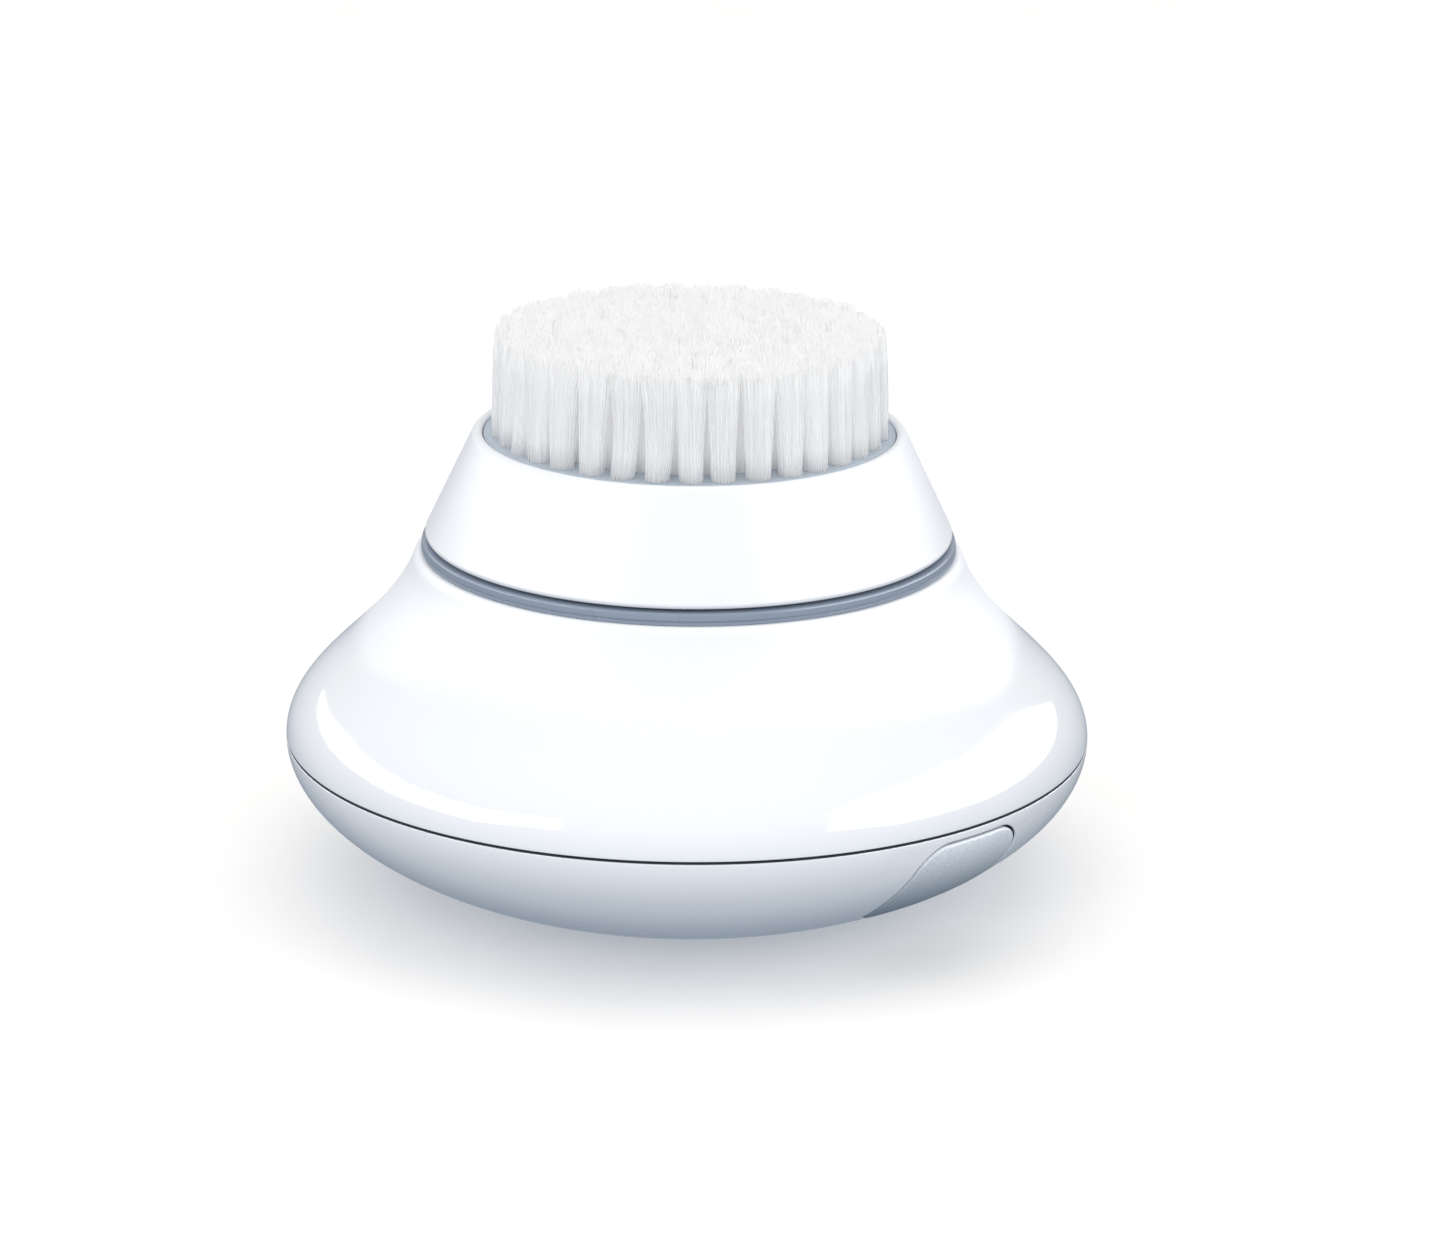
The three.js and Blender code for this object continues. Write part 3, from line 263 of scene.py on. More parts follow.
def turned(name, outline, shaded=None):
    """One closed piece: the outline either closes on itself or ends on the axis.

    shaded tells from a face's radius and height whether it takes the second material, the painted gap shade."""
    on_axis = outline[0][0] < 1e-6 and outline[-1][0] < 1e-6
    points, faces = turned_parts(outline, closed=not on_axis)
    return finished(name, points, faces, marks=marked(points, faces, shaded))


def marked(points, faces, shaded):
    """1 for each face whose middle passes the test on (radius, height), 0 for the others."""
    if shaded is None:
        return None
    marks = []
    for face in faces:
        x, y, z = np.mean([points[corner] for corner in face], axis=0)
        marks.append(int(shaded(math.hypot(x, y), z)))
    return marks


# %% [markdown]
# ## Finishes
#
# A moulded surface is never one flat value. Three small effects recur on this object, so each one is a
# node group that several materials share: the faint orange peel and handling haze of moulded plastic,
# the pebble grain of a soft-touch surface, with painted shade in its pits and painted shade darkening it
# towards the bottom, and the fine turning lines of metal. Each group puts out only values that change
# over the surface. The shader itself stays in the material, where numbers that are the same everywhere
# are set on its own sockets.

# %% Node helpers
def add_node(tree, kind, **settings):
    node = tree.nodes.new(kind)
    for key, value in settings.items():
        setattr(node, key, value)
    return node


def new_group(name, inputs, outputs):
    """A node group with float inputs {name: default} and outputs {name: socket type}."""
    group = bpy.data.node_groups.new(name, "ShaderNodeTree")
    for label, (kind, default) in inputs.items():
        socket = group.interface.new_socket(label, in_out="INPUT", socket_type=kind)
        socket.default_value = default
    for label, kind in outputs.items():
        group.interface.new_socket(label, in_out="OUTPUT", socket_type=kind)
    return group, group.nodes.new("NodeGroupInput"), group.nodes.new("NodeGroupOutput")


def object_coordinates(tree, scale_from):
    """Object coordinates in metres, multiplied by a socket that gives features per metre."""
    coordinates = add_node(tree, "ShaderNodeTexCoord")
    scaled = add_node(tree, "ShaderNodeVectorMath", operation="SCALE")
    tree.links.new(coordinates.outputs["Object"], scaled.inputs[0])
    tree.links.new(scale_from, scaled.inputs["Scale"])
    return scaled.outputs[0]


FLOAT, COLOR = "NodeSocketFloat", "NodeSocketColor"


# %% Moulded plastic group
def make_moulded_group():
    group, given, out = new_group(
        "moulded plastic",
        {
            "Color": (COLOR, (0.9, 0.9, 0.9, 1)),
            "Shade": (COLOR, (0.8, 0.85, 0.9, 1)),
            "Mottle": (FLOAT, 0.15),
            "Low Roughness": (FLOAT, 0.08),
            "High Roughness": (FLOAT, 0.16),
            "Satin Roughness": (FLOAT, 0.35),
            "Satin From": (FLOAT, 9.0),
            "Satin To": (FLOAT, 10.0),
            "Peel Density": (FLOAT, 900.0),
        },
        {"Color": COLOR, "Roughness": FLOAT, "Height": FLOAT},
    )
    links = group.links
    place = object_coordinates(group, given.outputs["Peel Density"])
    peel = add_node(group, "ShaderNodeTexNoise")
    peel.inputs["Scale"].default_value = 1.0
    peel.inputs["Detail"].default_value = 2.0
    links.new(place, peel.inputs["Vector"])
    links.new(peel.outputs["Fac"], out.inputs["Height"])
    wide = add_node(group, "ShaderNodeTexNoise")
    wide.inputs["Scale"].default_value = 0.06
    wide.inputs["Detail"].default_value = 4.0
    links.new(place, wide.inputs["Vector"])
    amount = add_node(group, "ShaderNodeMath", operation="MULTIPLY")
    links.new(wide.outputs["Fac"], amount.inputs[0])
    links.new(given.outputs["Mottle"], amount.inputs[1])
    tint = add_node(group, "ShaderNodeMix", data_type="RGBA")
    links.new(amount.outputs[0], tint.inputs["Factor"])
    links.new(given.outputs["Color"], tint.inputs["A"])
    links.new(given.outputs["Shade"], tint.inputs["B"])
    links.new(tint.outputs["Result"], out.inputs["Color"])
    rough = add_node(group, "ShaderNodeMapRange")
    rough.inputs["From Min"].default_value = 0.35
    rough.inputs["From Max"].default_value = 0.65
    links.new(wide.outputs["Fac"], rough.inputs["Value"])
    links.new(given.outputs["Low Roughness"], rough.inputs["To Min"])
    links.new(given.outputs["High Roughness"], rough.inputs["To Max"])
    # above a height the gloss passes into satin
    where = add_node(group, "ShaderNodeTexCoord")
    split = add_node(group, "ShaderNodeSeparateXYZ")
    links.new(where.outputs["Object"], split.inputs[0])
    rise = add_node(group, "ShaderNodeMapRange", interpolation_type="SMOOTHSTEP")
    links.new(split.outputs["Z"], rise.inputs["Value"])
    links.new(given.outputs["Satin From"], rise.inputs["From Min"])
    links.new(given.outputs["Satin To"], rise.inputs["From Max"])
    satin = add_node(group, "ShaderNodeMix", data_type="FLOAT")
    links.new(rise.outputs["Result"], satin.inputs["Factor"])
    links.new(rough.outputs["Result"], satin.inputs["A"])
    links.new(given.outputs["Satin Roughness"], satin.inputs["B"])
    links.new(satin.outputs["Result"], out.inputs["Roughness"])
    return group


moulded_group = make_moulded_group()


# %% Pebble grain group
def make_grain_and_shade_group():
    group, given, out = new_group(
        "pebble grain and painted shade",
        {
            "Color": (COLOR, (0.5, 0.5, 0.5, 1)),
            "Pit Shade Color": (COLOR, (0.3, 0.3, 0.3, 1)),
            "Painted Shade Color": (COLOR, (0.2, 0.2, 0.2, 1)),
            "Low Height": (FLOAT, 0.0),
            "High Height": (FLOAT, 1.0),
            "Grain Density": (FLOAT, 3500.0),
            "Low Roughness": (FLOAT, 0.45),
            "High Roughness": (FLOAT, 0.7),
        },
        {"Color": COLOR, "Roughness": FLOAT, "Height": FLOAT},
    )
    links = group.links
    place = object_coordinates(group, given.outputs["Grain Density"])
    cells = add_node(group, "ShaderNodeTexVoronoi", feature="SMOOTH_F1")
    cells.inputs["Scale"].default_value = 1.0
    cells.inputs["Smoothness"].default_value = 0.6
    links.new(place, cells.inputs["Vector"])
    fine = add_node(group, "ShaderNodeTexNoise")
    fine.inputs["Scale"].default_value = 2.0
    fine.inputs["Detail"].default_value = 3.0
    links.new(place, fine.inputs["Vector"])
    height = add_node(group, "ShaderNodeMath", operation="MULTIPLY_ADD")
    height.inputs[1].default_value = -0.8
    links.new(cells.outputs["Distance"], height.inputs[0])
    links.new(fine.outputs["Fac"], height.inputs[2])
    links.new(height.outputs[0], out.inputs["Height"])
    # painted shade: the pits of the grain are coloured darker, as shade in them would make them
    share = add_node(group, "ShaderNodeMapRange")
    share.inputs["From Min"].default_value = -0.2
    share.inputs["From Max"].default_value = 0.4
    links.new(height.outputs[0], share.inputs["Value"])
    tint = add_node(group, "ShaderNodeMix", data_type="RGBA")
    links.new(share.outputs["Result"], tint.inputs["Factor"])
    links.new(given.outputs["Pit Shade Color"], tint.inputs["A"])
    links.new(given.outputs["Color"], tint.inputs["B"])
    # painted shade: the colour runs from pale at the top to dark slate at the bottom
    where = add_node(group, "ShaderNodeTexCoord")
    split = add_node(group, "ShaderNodeSeparateXYZ")
    links.new(where.outputs["Object"], split.inputs[0])
    fall = add_node(group, "ShaderNodeMapRange")
    links.new(split.outputs["Z"], fall.inputs["Value"])
    links.new(given.outputs["Low Height"], fall.inputs["From Min"])
    links.new(given.outputs["High Height"], fall.inputs["From Max"])
    painted_shade_mix = add_node(group, "ShaderNodeMix", data_type="RGBA")
    links.new(fall.outputs["Result"], painted_shade_mix.inputs["Factor"])
    links.new(given.outputs["Painted Shade Color"], painted_shade_mix.inputs["A"])
    links.new(tint.outputs["Result"], painted_shade_mix.inputs["B"])
    links.new(painted_shade_mix.outputs["Result"], out.inputs["Color"])
    rough = add_node(group, "ShaderNodeMapRange")
    links.new(fine.outputs["Fac"], rough.inputs["Value"])
    links.new(given.outputs["Low Roughness"], rough.inputs["To Min"])
    links.new(given.outputs["High Roughness"], rough.inputs["To Max"])
    links.new(rough.outputs["Result"], out.inputs["Roughness"])
    return group


grain_and_shade_group = make_grain_and_shade_group()


# %% Turned metal group
def make_metal_group():
    group, given, out = new_group(
        "turned metal",
        {
            "Color": (COLOR, (0.6, 0.6, 0.6, 1)),
            "Stain": (COLOR, (0.4, 0.4, 0.4, 1)),
            "Line Density": (FLOAT, 9000.0),
            "Low Roughness": (FLOAT, 0.2),
            "High Roughness": (FLOAT, 0.4),
        },
        {"Color": COLOR, "Roughness": FLOAT, "Height": FLOAT},
    )
    links = group.links
    place = object_coordinates(group, given.outputs["Line Density"])
    squash = add_node(group, "ShaderNodeVectorMath", operation="MULTIPLY")
    squash.inputs[1].default_value = (0.05, 0.05, 1.0)
    links.new(place, squash.inputs[0])
    lines = add_node(group, "ShaderNodeTexNoise")
    lines.inputs["Scale"].default_value = 1.0
    lines.inputs["Detail"].default_value = 4.0
    links.new(squash.outputs[0], lines.inputs["Vector"])
    links.new(lines.outputs["Fac"], out.inputs["Height"])
    stains = add_node(group, "ShaderNodeTexNoise")
    stains.inputs["Scale"].default_value = 0.05
    stains.inputs["Detail"].default_value = 5.0
    links.new(place, stains.inputs["Vector"])
    tint = add_node(group, "ShaderNodeMix", data_type="RGBA")
    links.new(stains.outputs["Fac"], tint.inputs["Factor"])
    links.new(given.outputs["Color"], tint.inputs["A"])
    links.new(given.outputs["Stain"], tint.inputs["B"])
    links.new(tint.outputs["Result"], out.inputs["Color"])
    rough = add_node(group, "ShaderNodeMapRange")
    rough.inputs["From Min"].default_value = 0.3
    rough.inputs["From Max"].default_value = 0.7
    links.new(lines.outputs["Fac"], rough.inputs["Value"])
    links.new(given.outputs["Low Roughness"], rough.inputs["To Min"])
    links.new(given.outputs["High Roughness"], rough.inputs["To Max"])
    links.new(rough.outputs["Result"], out.inputs["Roughness"])
    return group


metal_group = make_metal_group()


# %% One material from one group
def make_material(
    name, group, values, bump, metallic=0.0, coat=0.0, scatter=0.0, scatter_reach=0.6, glow=0.0
):
    """A Principled shader fed by a group's colour, roughness and height."""
    material = bpy.data.materials.new(name)
    material.use_nodes = True
    tree = material.node_tree
    shader = tree.nodes["Principled BSDF"]
    surface = add_node(tree, "ShaderNodeGroup", node_tree=group)
    for label, value in values.items():
        surface.inputs[label].default_value = value
    relief = add_node(tree, "ShaderNodeBump")
    relief.inputs["Strength"].default_value = 1.0
    relief.inputs["Distance"].default_value = bump * MM
    tree.links.new(surface.outputs["Color"], shader.inputs["Base Color"])
    tree.links.new(surface.outputs["Roughness"], shader.inputs["Roughness"])
    tree.links.new(surface.outputs["Height"], relief.inputs["Height"])
    tree.links.new(relief.outputs["Normal"], shader.inputs["Normal"])
    shader.inputs["Metallic"].default_value = metallic
    shader.inputs["Coat Weight"].default_value = coat
    shader.inputs["Coat Roughness"].default_value = 0.03
    shader.inputs["Emission Color"].default_value = (1, 1, 1, 1)
    shader.inputs["Emission Strength"].default_value = glow
    if scatter:
        shader.inputs["Subsurface Weight"].default_value = scatter
        shader.inputs["Subsurface Radius"].default_value = (1.0, 1.0, 1.0)
        shader.inputs["Subsurface Scale"].default_value = scatter_reach * MM
    return material


def plastic(name, color, shade, rough=(0.08, 0.14), mottle=0.12, bump=0.0015, peel=900.0, satin=None, **rest):
    values = {"Color": (*color, 1), "Shade": (*shade, 1), "Mottle": mottle, "Peel Density": peel}
    values.update({"Low Roughness": rough[0], "High Roughness": rough[1]})
    if satin:
        start, end, roughness = satin
        values.update({"Satin From": start * MM, "Satin To": end * MM, "Satin Roughness": roughness})
    return make_material(name, moulded_group, values, bump, **rest)


def metal(name, color, stain, rough=(0.2, 0.38), bump=0.002, lines=9000.0):
    values = {"Color": (*color, 1), "Stain": (*stain, 1), "Line Density": lines}
    values.update({"Low Roughness": rough[0], "High Roughness": rough[1]})
    return make_material(name, metal_group, values, bump, metallic=1.0)


# %% The finishes of this brush
gloss_white = plastic(
    "gloss white ABS", (0.90, 0.915, 0.94), (0.84, 0.87, 0.91), rough=(0.045, 0.08), coat=0.5
)
shoulder_white = plastic(
    "gloss to satin white ABS", (0.90, 0.915, 0.94), (0.84, 0.87, 0.91), rough=(0.045, 0.08),
    satin=(24.5, 29.0, 0.5)
)
satin_white = plastic(
    "satin white ABS", (0.915, 0.925, 0.945), (0.86, 0.88, 0.915), rough=(0.34, 0.42), mottle=0.2, bump=0.002
)
# painted shade: a dark grey on the faces inside the seam and deep in the button's pocket, where the white
# plastic would be in shade
painted_gap_shade = plastic(
    "painted shade in gaps", (0.13, 0.155, 0.19), (0.10, 0.12, 0.15), rough=(0.4, 0.5), mottle=0.4
)
collar_grey = plastic(
    "collar blue-grey", (0.28, 0.33, 0.41), (0.22, 0.265, 0.34), rough=(0.18, 0.3), mottle=0.5, bump=0.003
)
plate_grey = plastic(
    "plate pale blue-grey", (0.50, 0.57, 0.64), (0.42, 0.49, 0.57), rough=(0.3, 0.45), mottle=0.4, bump=0.004
)
# painted light: the nylon glows faintly to stand in for light passed between filaments
nylon = plastic(
    "brush nylon with painted glow", (0.985, 0.985, 0.99), (0.965, 0.97, 0.98), rough=(0.28, 0.45), mottle=0.6, bump=0.001,
    peel=2500.0, scatter=0.6, scatter_reach=1.5, glow=0.095
)
seal_black = plastic(
    "seal rubber", (0.05, 0.06, 0.075), (0.03, 0.036, 0.045), rough=(0.5, 0.75),
    mottle=0.6, bump=0.004, peel=2200.0
)
inner_grey = plastic(
    "inner plastic", (0.15, 0.17, 0.20), (0.10, 0.12, 0.145), rough=(0.35, 0.55),
    mottle=0.6, bump=0.006, peel=1500.0
)
acetal = plastic(
    "natural acetal", (0.80, 0.78, 0.71), (0.72, 0.70, 0.62), rough=(0.3, 0.45), mottle=0.5, bump=0.003
)
board_green = plastic(
    "board lacquer", (0.02, 0.16, 0.07), (0.01, 0.10, 0.045), rough=(0.2, 0.35),
    mottle=0.6, bump=0.004, peel=3000.0
)
switch_black = plastic(
    "switch moulding", (0.02, 0.022, 0.025), (0.012, 0.013, 0.015), rough=(0.35, 0.5), mottle=0.5, bump=0.004
)
lead_black = plastic(
    "black insulation", (0.018, 0.018, 0.02), (0.01, 0.01, 0.012), rough=(0.35, 0.5), bump=0.003
)
lead_red = plastic("red insulation", (0.45, 0.02, 0.016), (0.3, 0.012, 0.01), rough=(0.35, 0.5), bump=0.003)
steel = metal("plated steel", (0.62, 0.63, 0.65), (0.5, 0.51, 0.53))
brass = metal("brass", (0.74, 0.53, 0.19), (0.55, 0.37, 0.12))
bronze = metal("sintered bronze", (0.45, 0.27, 0.11), (0.3, 0.17, 0.06), rough=(0.35, 0.55))
cell_jacket = metal("cell jacket", (0.06, 0.14, 0.33), (0.04, 0.09, 0.24), rough=(0.22, 0.34))
soft_touch = make_material(
    "soft-touch grain with painted shade",
    grain_and_shade_group,
    {
        "Color": (0.95, 0.98, 1.0, 1),
        # painted shade: darker pits, and a fall to dark slate towards the bottom of the button
        "Pit Shade Color": (0.72, 0.78, 0.84, 1),
        "Painted Shade Color": (0.17, 0.22, 0.27, 1),
        "Low Height": low("power_button")[2] * MM,
        "High Height": (SEAM_Z - 1.5) * MM,
        "Grain Density": 4200.0,
        "Low Roughness": 0.42,
        "High Roughness": 0.62,
    },
    bump=0.02,
)
print("materials", len(bpy.data.materials))

# %% Materials for the nodes that stay as the frame has them
kept_finishes = {
    "silicone": seal_black,
    "steel": steel,
    "inner_plastic": inner_grey,
    "acetal": acetal,
    "brass": brass,
    "bronze": bronze,
    "cell_jacket": cell_jacket,
    "board_green": board_green,
    "switch_black": switch_black,
    "lead_black": lead_black,
    "lead_red": lead_red,
    "gloss_white": gloss_white,
    "collar_grey": collar_grey,
    "plate_grey": plate_grey,
    "pad_grey": soft_touch,
    "nylon": nylon,
}
slot_of = {part["node"]: part["material_slot"] for part in frame["record"]["subparts"]}
for name, node in nodes.items():
    node.data.materials.clear()
    node.data.materials.append(kept_finishes[slot_of[name]])


def hand_over(piece, body, material, *replaced, second=None):
    """Rides a finished piece on its body, gives it its finish and hides what it stands for."""
    piece.data.materials.append(material)
    if second:
        piece.data.materials.append(second)
    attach(piece, body)
    if replaced:
        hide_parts(*replaced)
    faces = len(piece.data.polygons)
    print(f"{piece.name}: {faces} faces on {body}")
    return piece


# %% [markdown]
# ## Lower shell and its button
#
# The lower shell is a shallow bowl with one interruption: the soft-touch button set into its side. A
# Boolean would cut the opening, but it leaves long thin faces that shade badly on a glossy curve. So the
# bowl is turned as a grid with a window left out, and the window is filled by rings that pass smoothly
# from its edge to the button's outline, over a small rounded lip and down into the pocket. The button
# itself is filled the same way, so the gap between them is even all round.

# %% Outline of the button
PAD_AZIMUTH = math.radians(43.8)
PAD_DROP, PAD_LENGTH = 1.3, 15.2
PAD_END_HALF, PAD_BELLY, PAD_CORNER = 6.4, 1.3, 2.6
PAD_GAP = 0.3
PAD_CENTRE = PAD_DROP + PAD_LENGTH / 2


def half_width(run):
    """Half the button's width at a distance from its top edge."""
    edge = np.maximum(0, PAD_CORNER - np.minimum(run, PAD_LENGTH - run))
    belly = PAD_BELLY * np.sin(np.pi * run / PAD_LENGTH)
    return PAD_END_HALF + belly - PAD_CORNER + np.sqrt(np.maximum(0, PAD_CORNER**2 - edge**2))


def button_outline(offset, angles):
    """Points (run below the seam, distance sideways) of the outline grown by an offset."""
    run = PAD_LENGTH * (1 - np.cos(np.linspace(0, np.pi, 161))) / 2
    right = np.stack([run - PAD_LENGTH / 2, half_width(run)], axis=1)
    across = np.linspace(1, -1, 33)[1:-1] * half_width(np.zeros(1))
    bottom = np.stack([np.full(len(across), PAD_LENGTH / 2), across], axis=1)
    loop = np.concatenate([right, bottom, right[::-1] * (1, -1), -bottom])
    loop = loop[np.concatenate([[True], np.hypot(*np.diff(loop, axis=0).T) > 1e-6])]
    if np.hypot(*(loop[0] - loop[-1])) < 1e-6:
        loop = loop[:-1]
    along = np.roll(loop, -1, axis=0) - np.roll(loop, 1, axis=0)
    outward = np.stack([-along[:, 1], along[:, 0]], axis=1) / np.hypot(*along.T)[:, None]
    outward *= np.sign((outward * loop).sum(axis=1).mean())
    grown = loop + offset * outward
    bearing = np.arctan2(grown[:, 1], grown[:, 0])
    order = np.argsort(bearing)
    reach = np.interp(angles, bearing[order], np.hypot(*grown.T)[order], period=2 * np.pi)
    return np.stack([PAD_CENTRE + reach * np.cos(angles), reach * np.sin(angles)], axis=1)


def on_lower_shell(run_and_side, depth):
    """Points in space for places on the bowl, some depth under its surface."""
    surface = lower_curve.at(run_and_side[:, 0])
    place = lower_curve.at(run_and_side[:, 0], depth)
    turn = PAD_AZIMUTH + run_and_side[:, 1] / surface[:, 0]
    return np.stack([place[:, 0] * np.sin(turn), -place[:, 0] * np.cos(turn), place[:, 1]], axis=1)


# %% Bowl with a window
LIP_R = 0.18
WALL = 2.0
TONGUE_CLEAR = 0.8
TONGUE_T = 1.4
TONGUE_H = 1.8
DOOR_GAP = 0.2
DOOR_LEDGE = 0.7
BORE_WALL = 1.5
BORE_TOP = 7.4


def in_seam(radius, height):
    """Whether a face lies inside the parting line between the shells, where faces take painted shade."""
    return radius < BODY_R - 0.2 and abs(height - SEAM_Z) < 0.25


SEAM_GAP = 0.3
seam_low = SEAM_Z - SEAM_GAP / 2
skin_start = lower_curve.where(1, seam_low - LIP_R)
skin_end = lower_curve.where(0, DOOR_R + DOOR_GAP + LIP_R)
ROW_STEP = 0.5
rows = int((skin_end - skin_start) / ROW_STEP)
row_runs = np.linspace(skin_start, skin_end, rows + 1)
skin = [tuple(p) for p in lower_curve.at(row_runs)]

tongue_r = BODY_R - WALL - TONGUE_CLEAR
tongue_top = SEAM_Z + TONGUE_H
tongue_foot = seam_low - 1
seat_z = lower_curve.at(skin_end)[1] + 1.2
bore_r = DOOR_R - DOOR_LEDGE
inner_end = lower_curve.where(0, bore_r + BORE_WALL, WALL)
inner_start = lower_curve.where(1, tongue_foot, WALL)
inside = rounded(
    [
        skin[-1],
        (DOOR_R + DOOR_GAP, skin[-1][1] - 0.03, 0.15),
        (DOOR_R + DOOR_GAP, seat_z, 0.1),
        (bore_r, seat_z, 0.2),
        (bore_r, BORE_TOP, 0.3),
        (bore_r + BORE_WALL, BORE_TOP, 0.3),
        *[(*p, 0) for p in lower_curve.between(inner_end, inner_start, 12, WALL)],
        (tongue_r - TONGUE_T, tongue_foot, 0.3),
        (tongue_r - TONGUE_T, tongue_top, 0.25),
        (tongue_r, tongue_top, 0.25),
        (tongue_r, seam_low, 0.15),
        (BODY_R - 0.02, seam_low, LIP_R),
        skin[0],
    ]
)[1:-1]
bowl_outline = skin + inside
bowl_points, bowl_faces = turned_parts(bowl_outline)

# %% Leave out the window
WINDOW_MARGIN = 1.0
STEP_ANGLE = 2 * math.pi / SEGMENTS
window_start = PAD_DROP - 0.75
window_end = PAD_DROP + PAD_LENGTH + 1.1
window_rows = [i for i in range(rows) if window_start <= row_runs[i] and row_runs[i + 1] <= window_end]
first_row, last_row = window_rows[0], window_rows[-1] + 1
# ring vertex k lies at turn k * STEP_ANGLE from +X; the button's azimuth is measured from -Y
pad_turn = PAD_AZIMUTH - math.pi / 2
window_half = (PAD_END_HALF + PAD_BELLY + WINDOW_MARGIN) / lower_curve.at(PAD_DROP + PAD_LENGTH)[0]
first_column = math.floor((pad_turn - window_half) / STEP_ANGLE)
last_column = math.ceil((pad_turn + window_half) / STEP_ANGLE)


def bowl_vertex(row, column):
    return row * SEGMENTS + column % SEGMENTS


in_window = set()
for row in range(first_row, last_row):
    for column in range(first_column, last_column):
        corners = [bowl_vertex(row + a, column + b) for a, b in ((0, 0), (0, 1), (1, 1), (1, 0))]
        in_window.add(frozenset(corners))
bowl_faces = [face for face in bowl_faces if frozenset(face) not in in_window]
edge_loop = [(first_row, c) for c in range(first_column, last_column)]
edge_loop += [(r, last_column) for r in range(first_row, last_row)]
edge_loop += [(last_row, c) for c in range(last_column, first_column, -1)]
edge_loop += [(r, first_column) for r in range(last_row, first_row, -1)]
window_ring = [bowl_vertex(r, c) for r, c in edge_loop]

# %% Bearings from the window's edge to the button's outline
window_places = []
for row, column in edge_loop:
    radius = lower_curve.at(row_runs[row])[0]
    window_places.append((row_runs[row], (column * STEP_ANGLE - pad_turn) * radius))
window_places = np.array(window_places)
flat = window_places - (PAD_CENTRE, 0)
# stretching the window to the outline's own proportions keeps the corners in line
stretch = np.array([PAD_LENGTH / np.ptp(flat[:, 0]), 2 * (PAD_END_HALF + PAD_BELLY) / np.ptp(flat[:, 1])])
bearings = np.arctan2(flat[:, 1] * stretch[1], flat[:, 0] * stretch[0])


def ring_faces(outer, inner):
    count = len(outer)
    return [[outer[k], outer[(k + 1) % count], inner[(k + 1) % count], inner[k]] for k in range(count)]


# %% Finish the lower shell
POCKET_DEPTH = 1.85  # less than the wall, so the bowl stays closed behind the button
lip_turns = np.linspace(0, math.pi / 2, 6)
shell_rings = [(0.6, 0.0)]
shell_rings += [(PAD_GAP + LIP_R * (1 - math.sin(a)), LIP_R * (1 - math.cos(a))) for a in lip_turns]
shell_rings += [(PAD_GAP, 1.1), (PAD_GAP, POCKET_DEPTH), (-0.6, POCKET_DEPTH)]
points, faces, last_ring = list(bowl_points), list(bowl_faces), window_ring
marks = marked(points, faces, in_seam)
# the pocket's walls deeper than 1 mm and its floor take the painted gap shade
for offset, depth in shell_rings:
    ring = list(range(len(points), len(points) + len(bearings)))
    points += [tuple(p) for p in on_lower_shell(button_outline(offset, bearings), depth)]
    faces += ring_faces(last_ring, ring)
    marks += [int(depth > 1)] * len(ring)
    last_ring = ring
for share in (0.75, 0.5, 0.25):
    outline = button_outline(-0.6, bearings)
    outline = (PAD_CENTRE, 0) + share * (outline - (PAD_CENTRE, 0))
    ring = list(range(len(points), len(points) + len(bearings)))
    points += [tuple(p) for p in on_lower_shell(outline, POCKET_DEPTH)]
    faces += ring_faces(last_ring, ring)
    last_ring = ring
points.append(tuple(on_lower_shell(np.array([[PAD_CENTRE, 0.0]]), POCKET_DEPTH)[0]))
faces += [[last_ring[k], last_ring[(k + 1) % len(last_ring)], len(points) - 1] for k in range(len(last_ring))]
marks += [1] * (len(faces) - len(marks))
lower_shell = finished("lower_shell_bowl", points, faces, marks=marks)
hand_over(lower_shell, "housing", gloss_white, "lower_shell", second=painted_gap_shade)

# %% Finish the button
PAD_DEPTH = 1.2
PAD_EDGE_R = 0.3
PAD_PROUD = 0.04
pad_rings = [(-0.5, PAD_DEPTH), (0.0, PAD_DEPTH - 0.3), (0.0, PAD_DEPTH * 0.6)]
pad_rings += [
    (-PAD_EDGE_R * (1 - math.cos(a)), PAD_EDGE_R * (1 - math.sin(a)) - PAD_PROUD) for a in lip_turns
]
points, faces, rings = [], [], []
underside = button_outline(-0.5, bearings) - (PAD_CENTRE, 0)
for share in (0.25, 0.5, 0.75):
    rings.append(list(range(len(points), len(points) + len(bearings))))
    points += [tuple(p) for p in on_lower_shell((PAD_CENTRE, 0) + share * underside, PAD_DEPTH)]
for offset, depth in pad_rings + [(-0.8, -PAD_PROUD - 0.01), (-1.6, -PAD_PROUD - 0.03)]:
    rings.append(list(range(len(points), len(points) + len(bearings))))
    points += [tuple(p) for p in on_lower_shell(button_outline(offset, bearings), depth)]
inner_outline = button_outline(-1.6, bearings) - (PAD_CENTRE, 0)
for share in (0.8, 0.6, 0.4, 0.2):
    rings.append(list(range(len(points), len(points) + len(bearings))))
    places = (PAD_CENTRE, 0) + share * inner_outline
    points += [tuple(p) for p in on_lower_shell(places, -PAD_PROUD - 0.03 - 0.05 * (1 - share))]
for outer, inner in zip(rings, rings[1:]):
    faces += ring_faces(outer, inner)
for ring, depth in ((rings[-1], -PAD_PROUD - 0.08), (rings[0], PAD_DEPTH)):
    points.append(tuple(on_lower_shell(np.array([[PAD_CENTRE, 0.0]]), depth)[0]))
    faces += [[ring[k], ring[(k + 1) % len(ring)], len(points) - 1] for k in range(len(ring))]
button = finished("button_pad", points, faces)
hand_over(button, "button", soft_touch, "power_button")

# %% [markdown]
# ## Upper shell
#
# The upper shell is one sweep from the seam, over a full shoulder and in to the neck. A turned outline
# gives it the clean reflections that gloss plastic needs. Both edges at the seam are rounded a little,
# because the thin bright line along a real parting line is light caught by those two small radii.

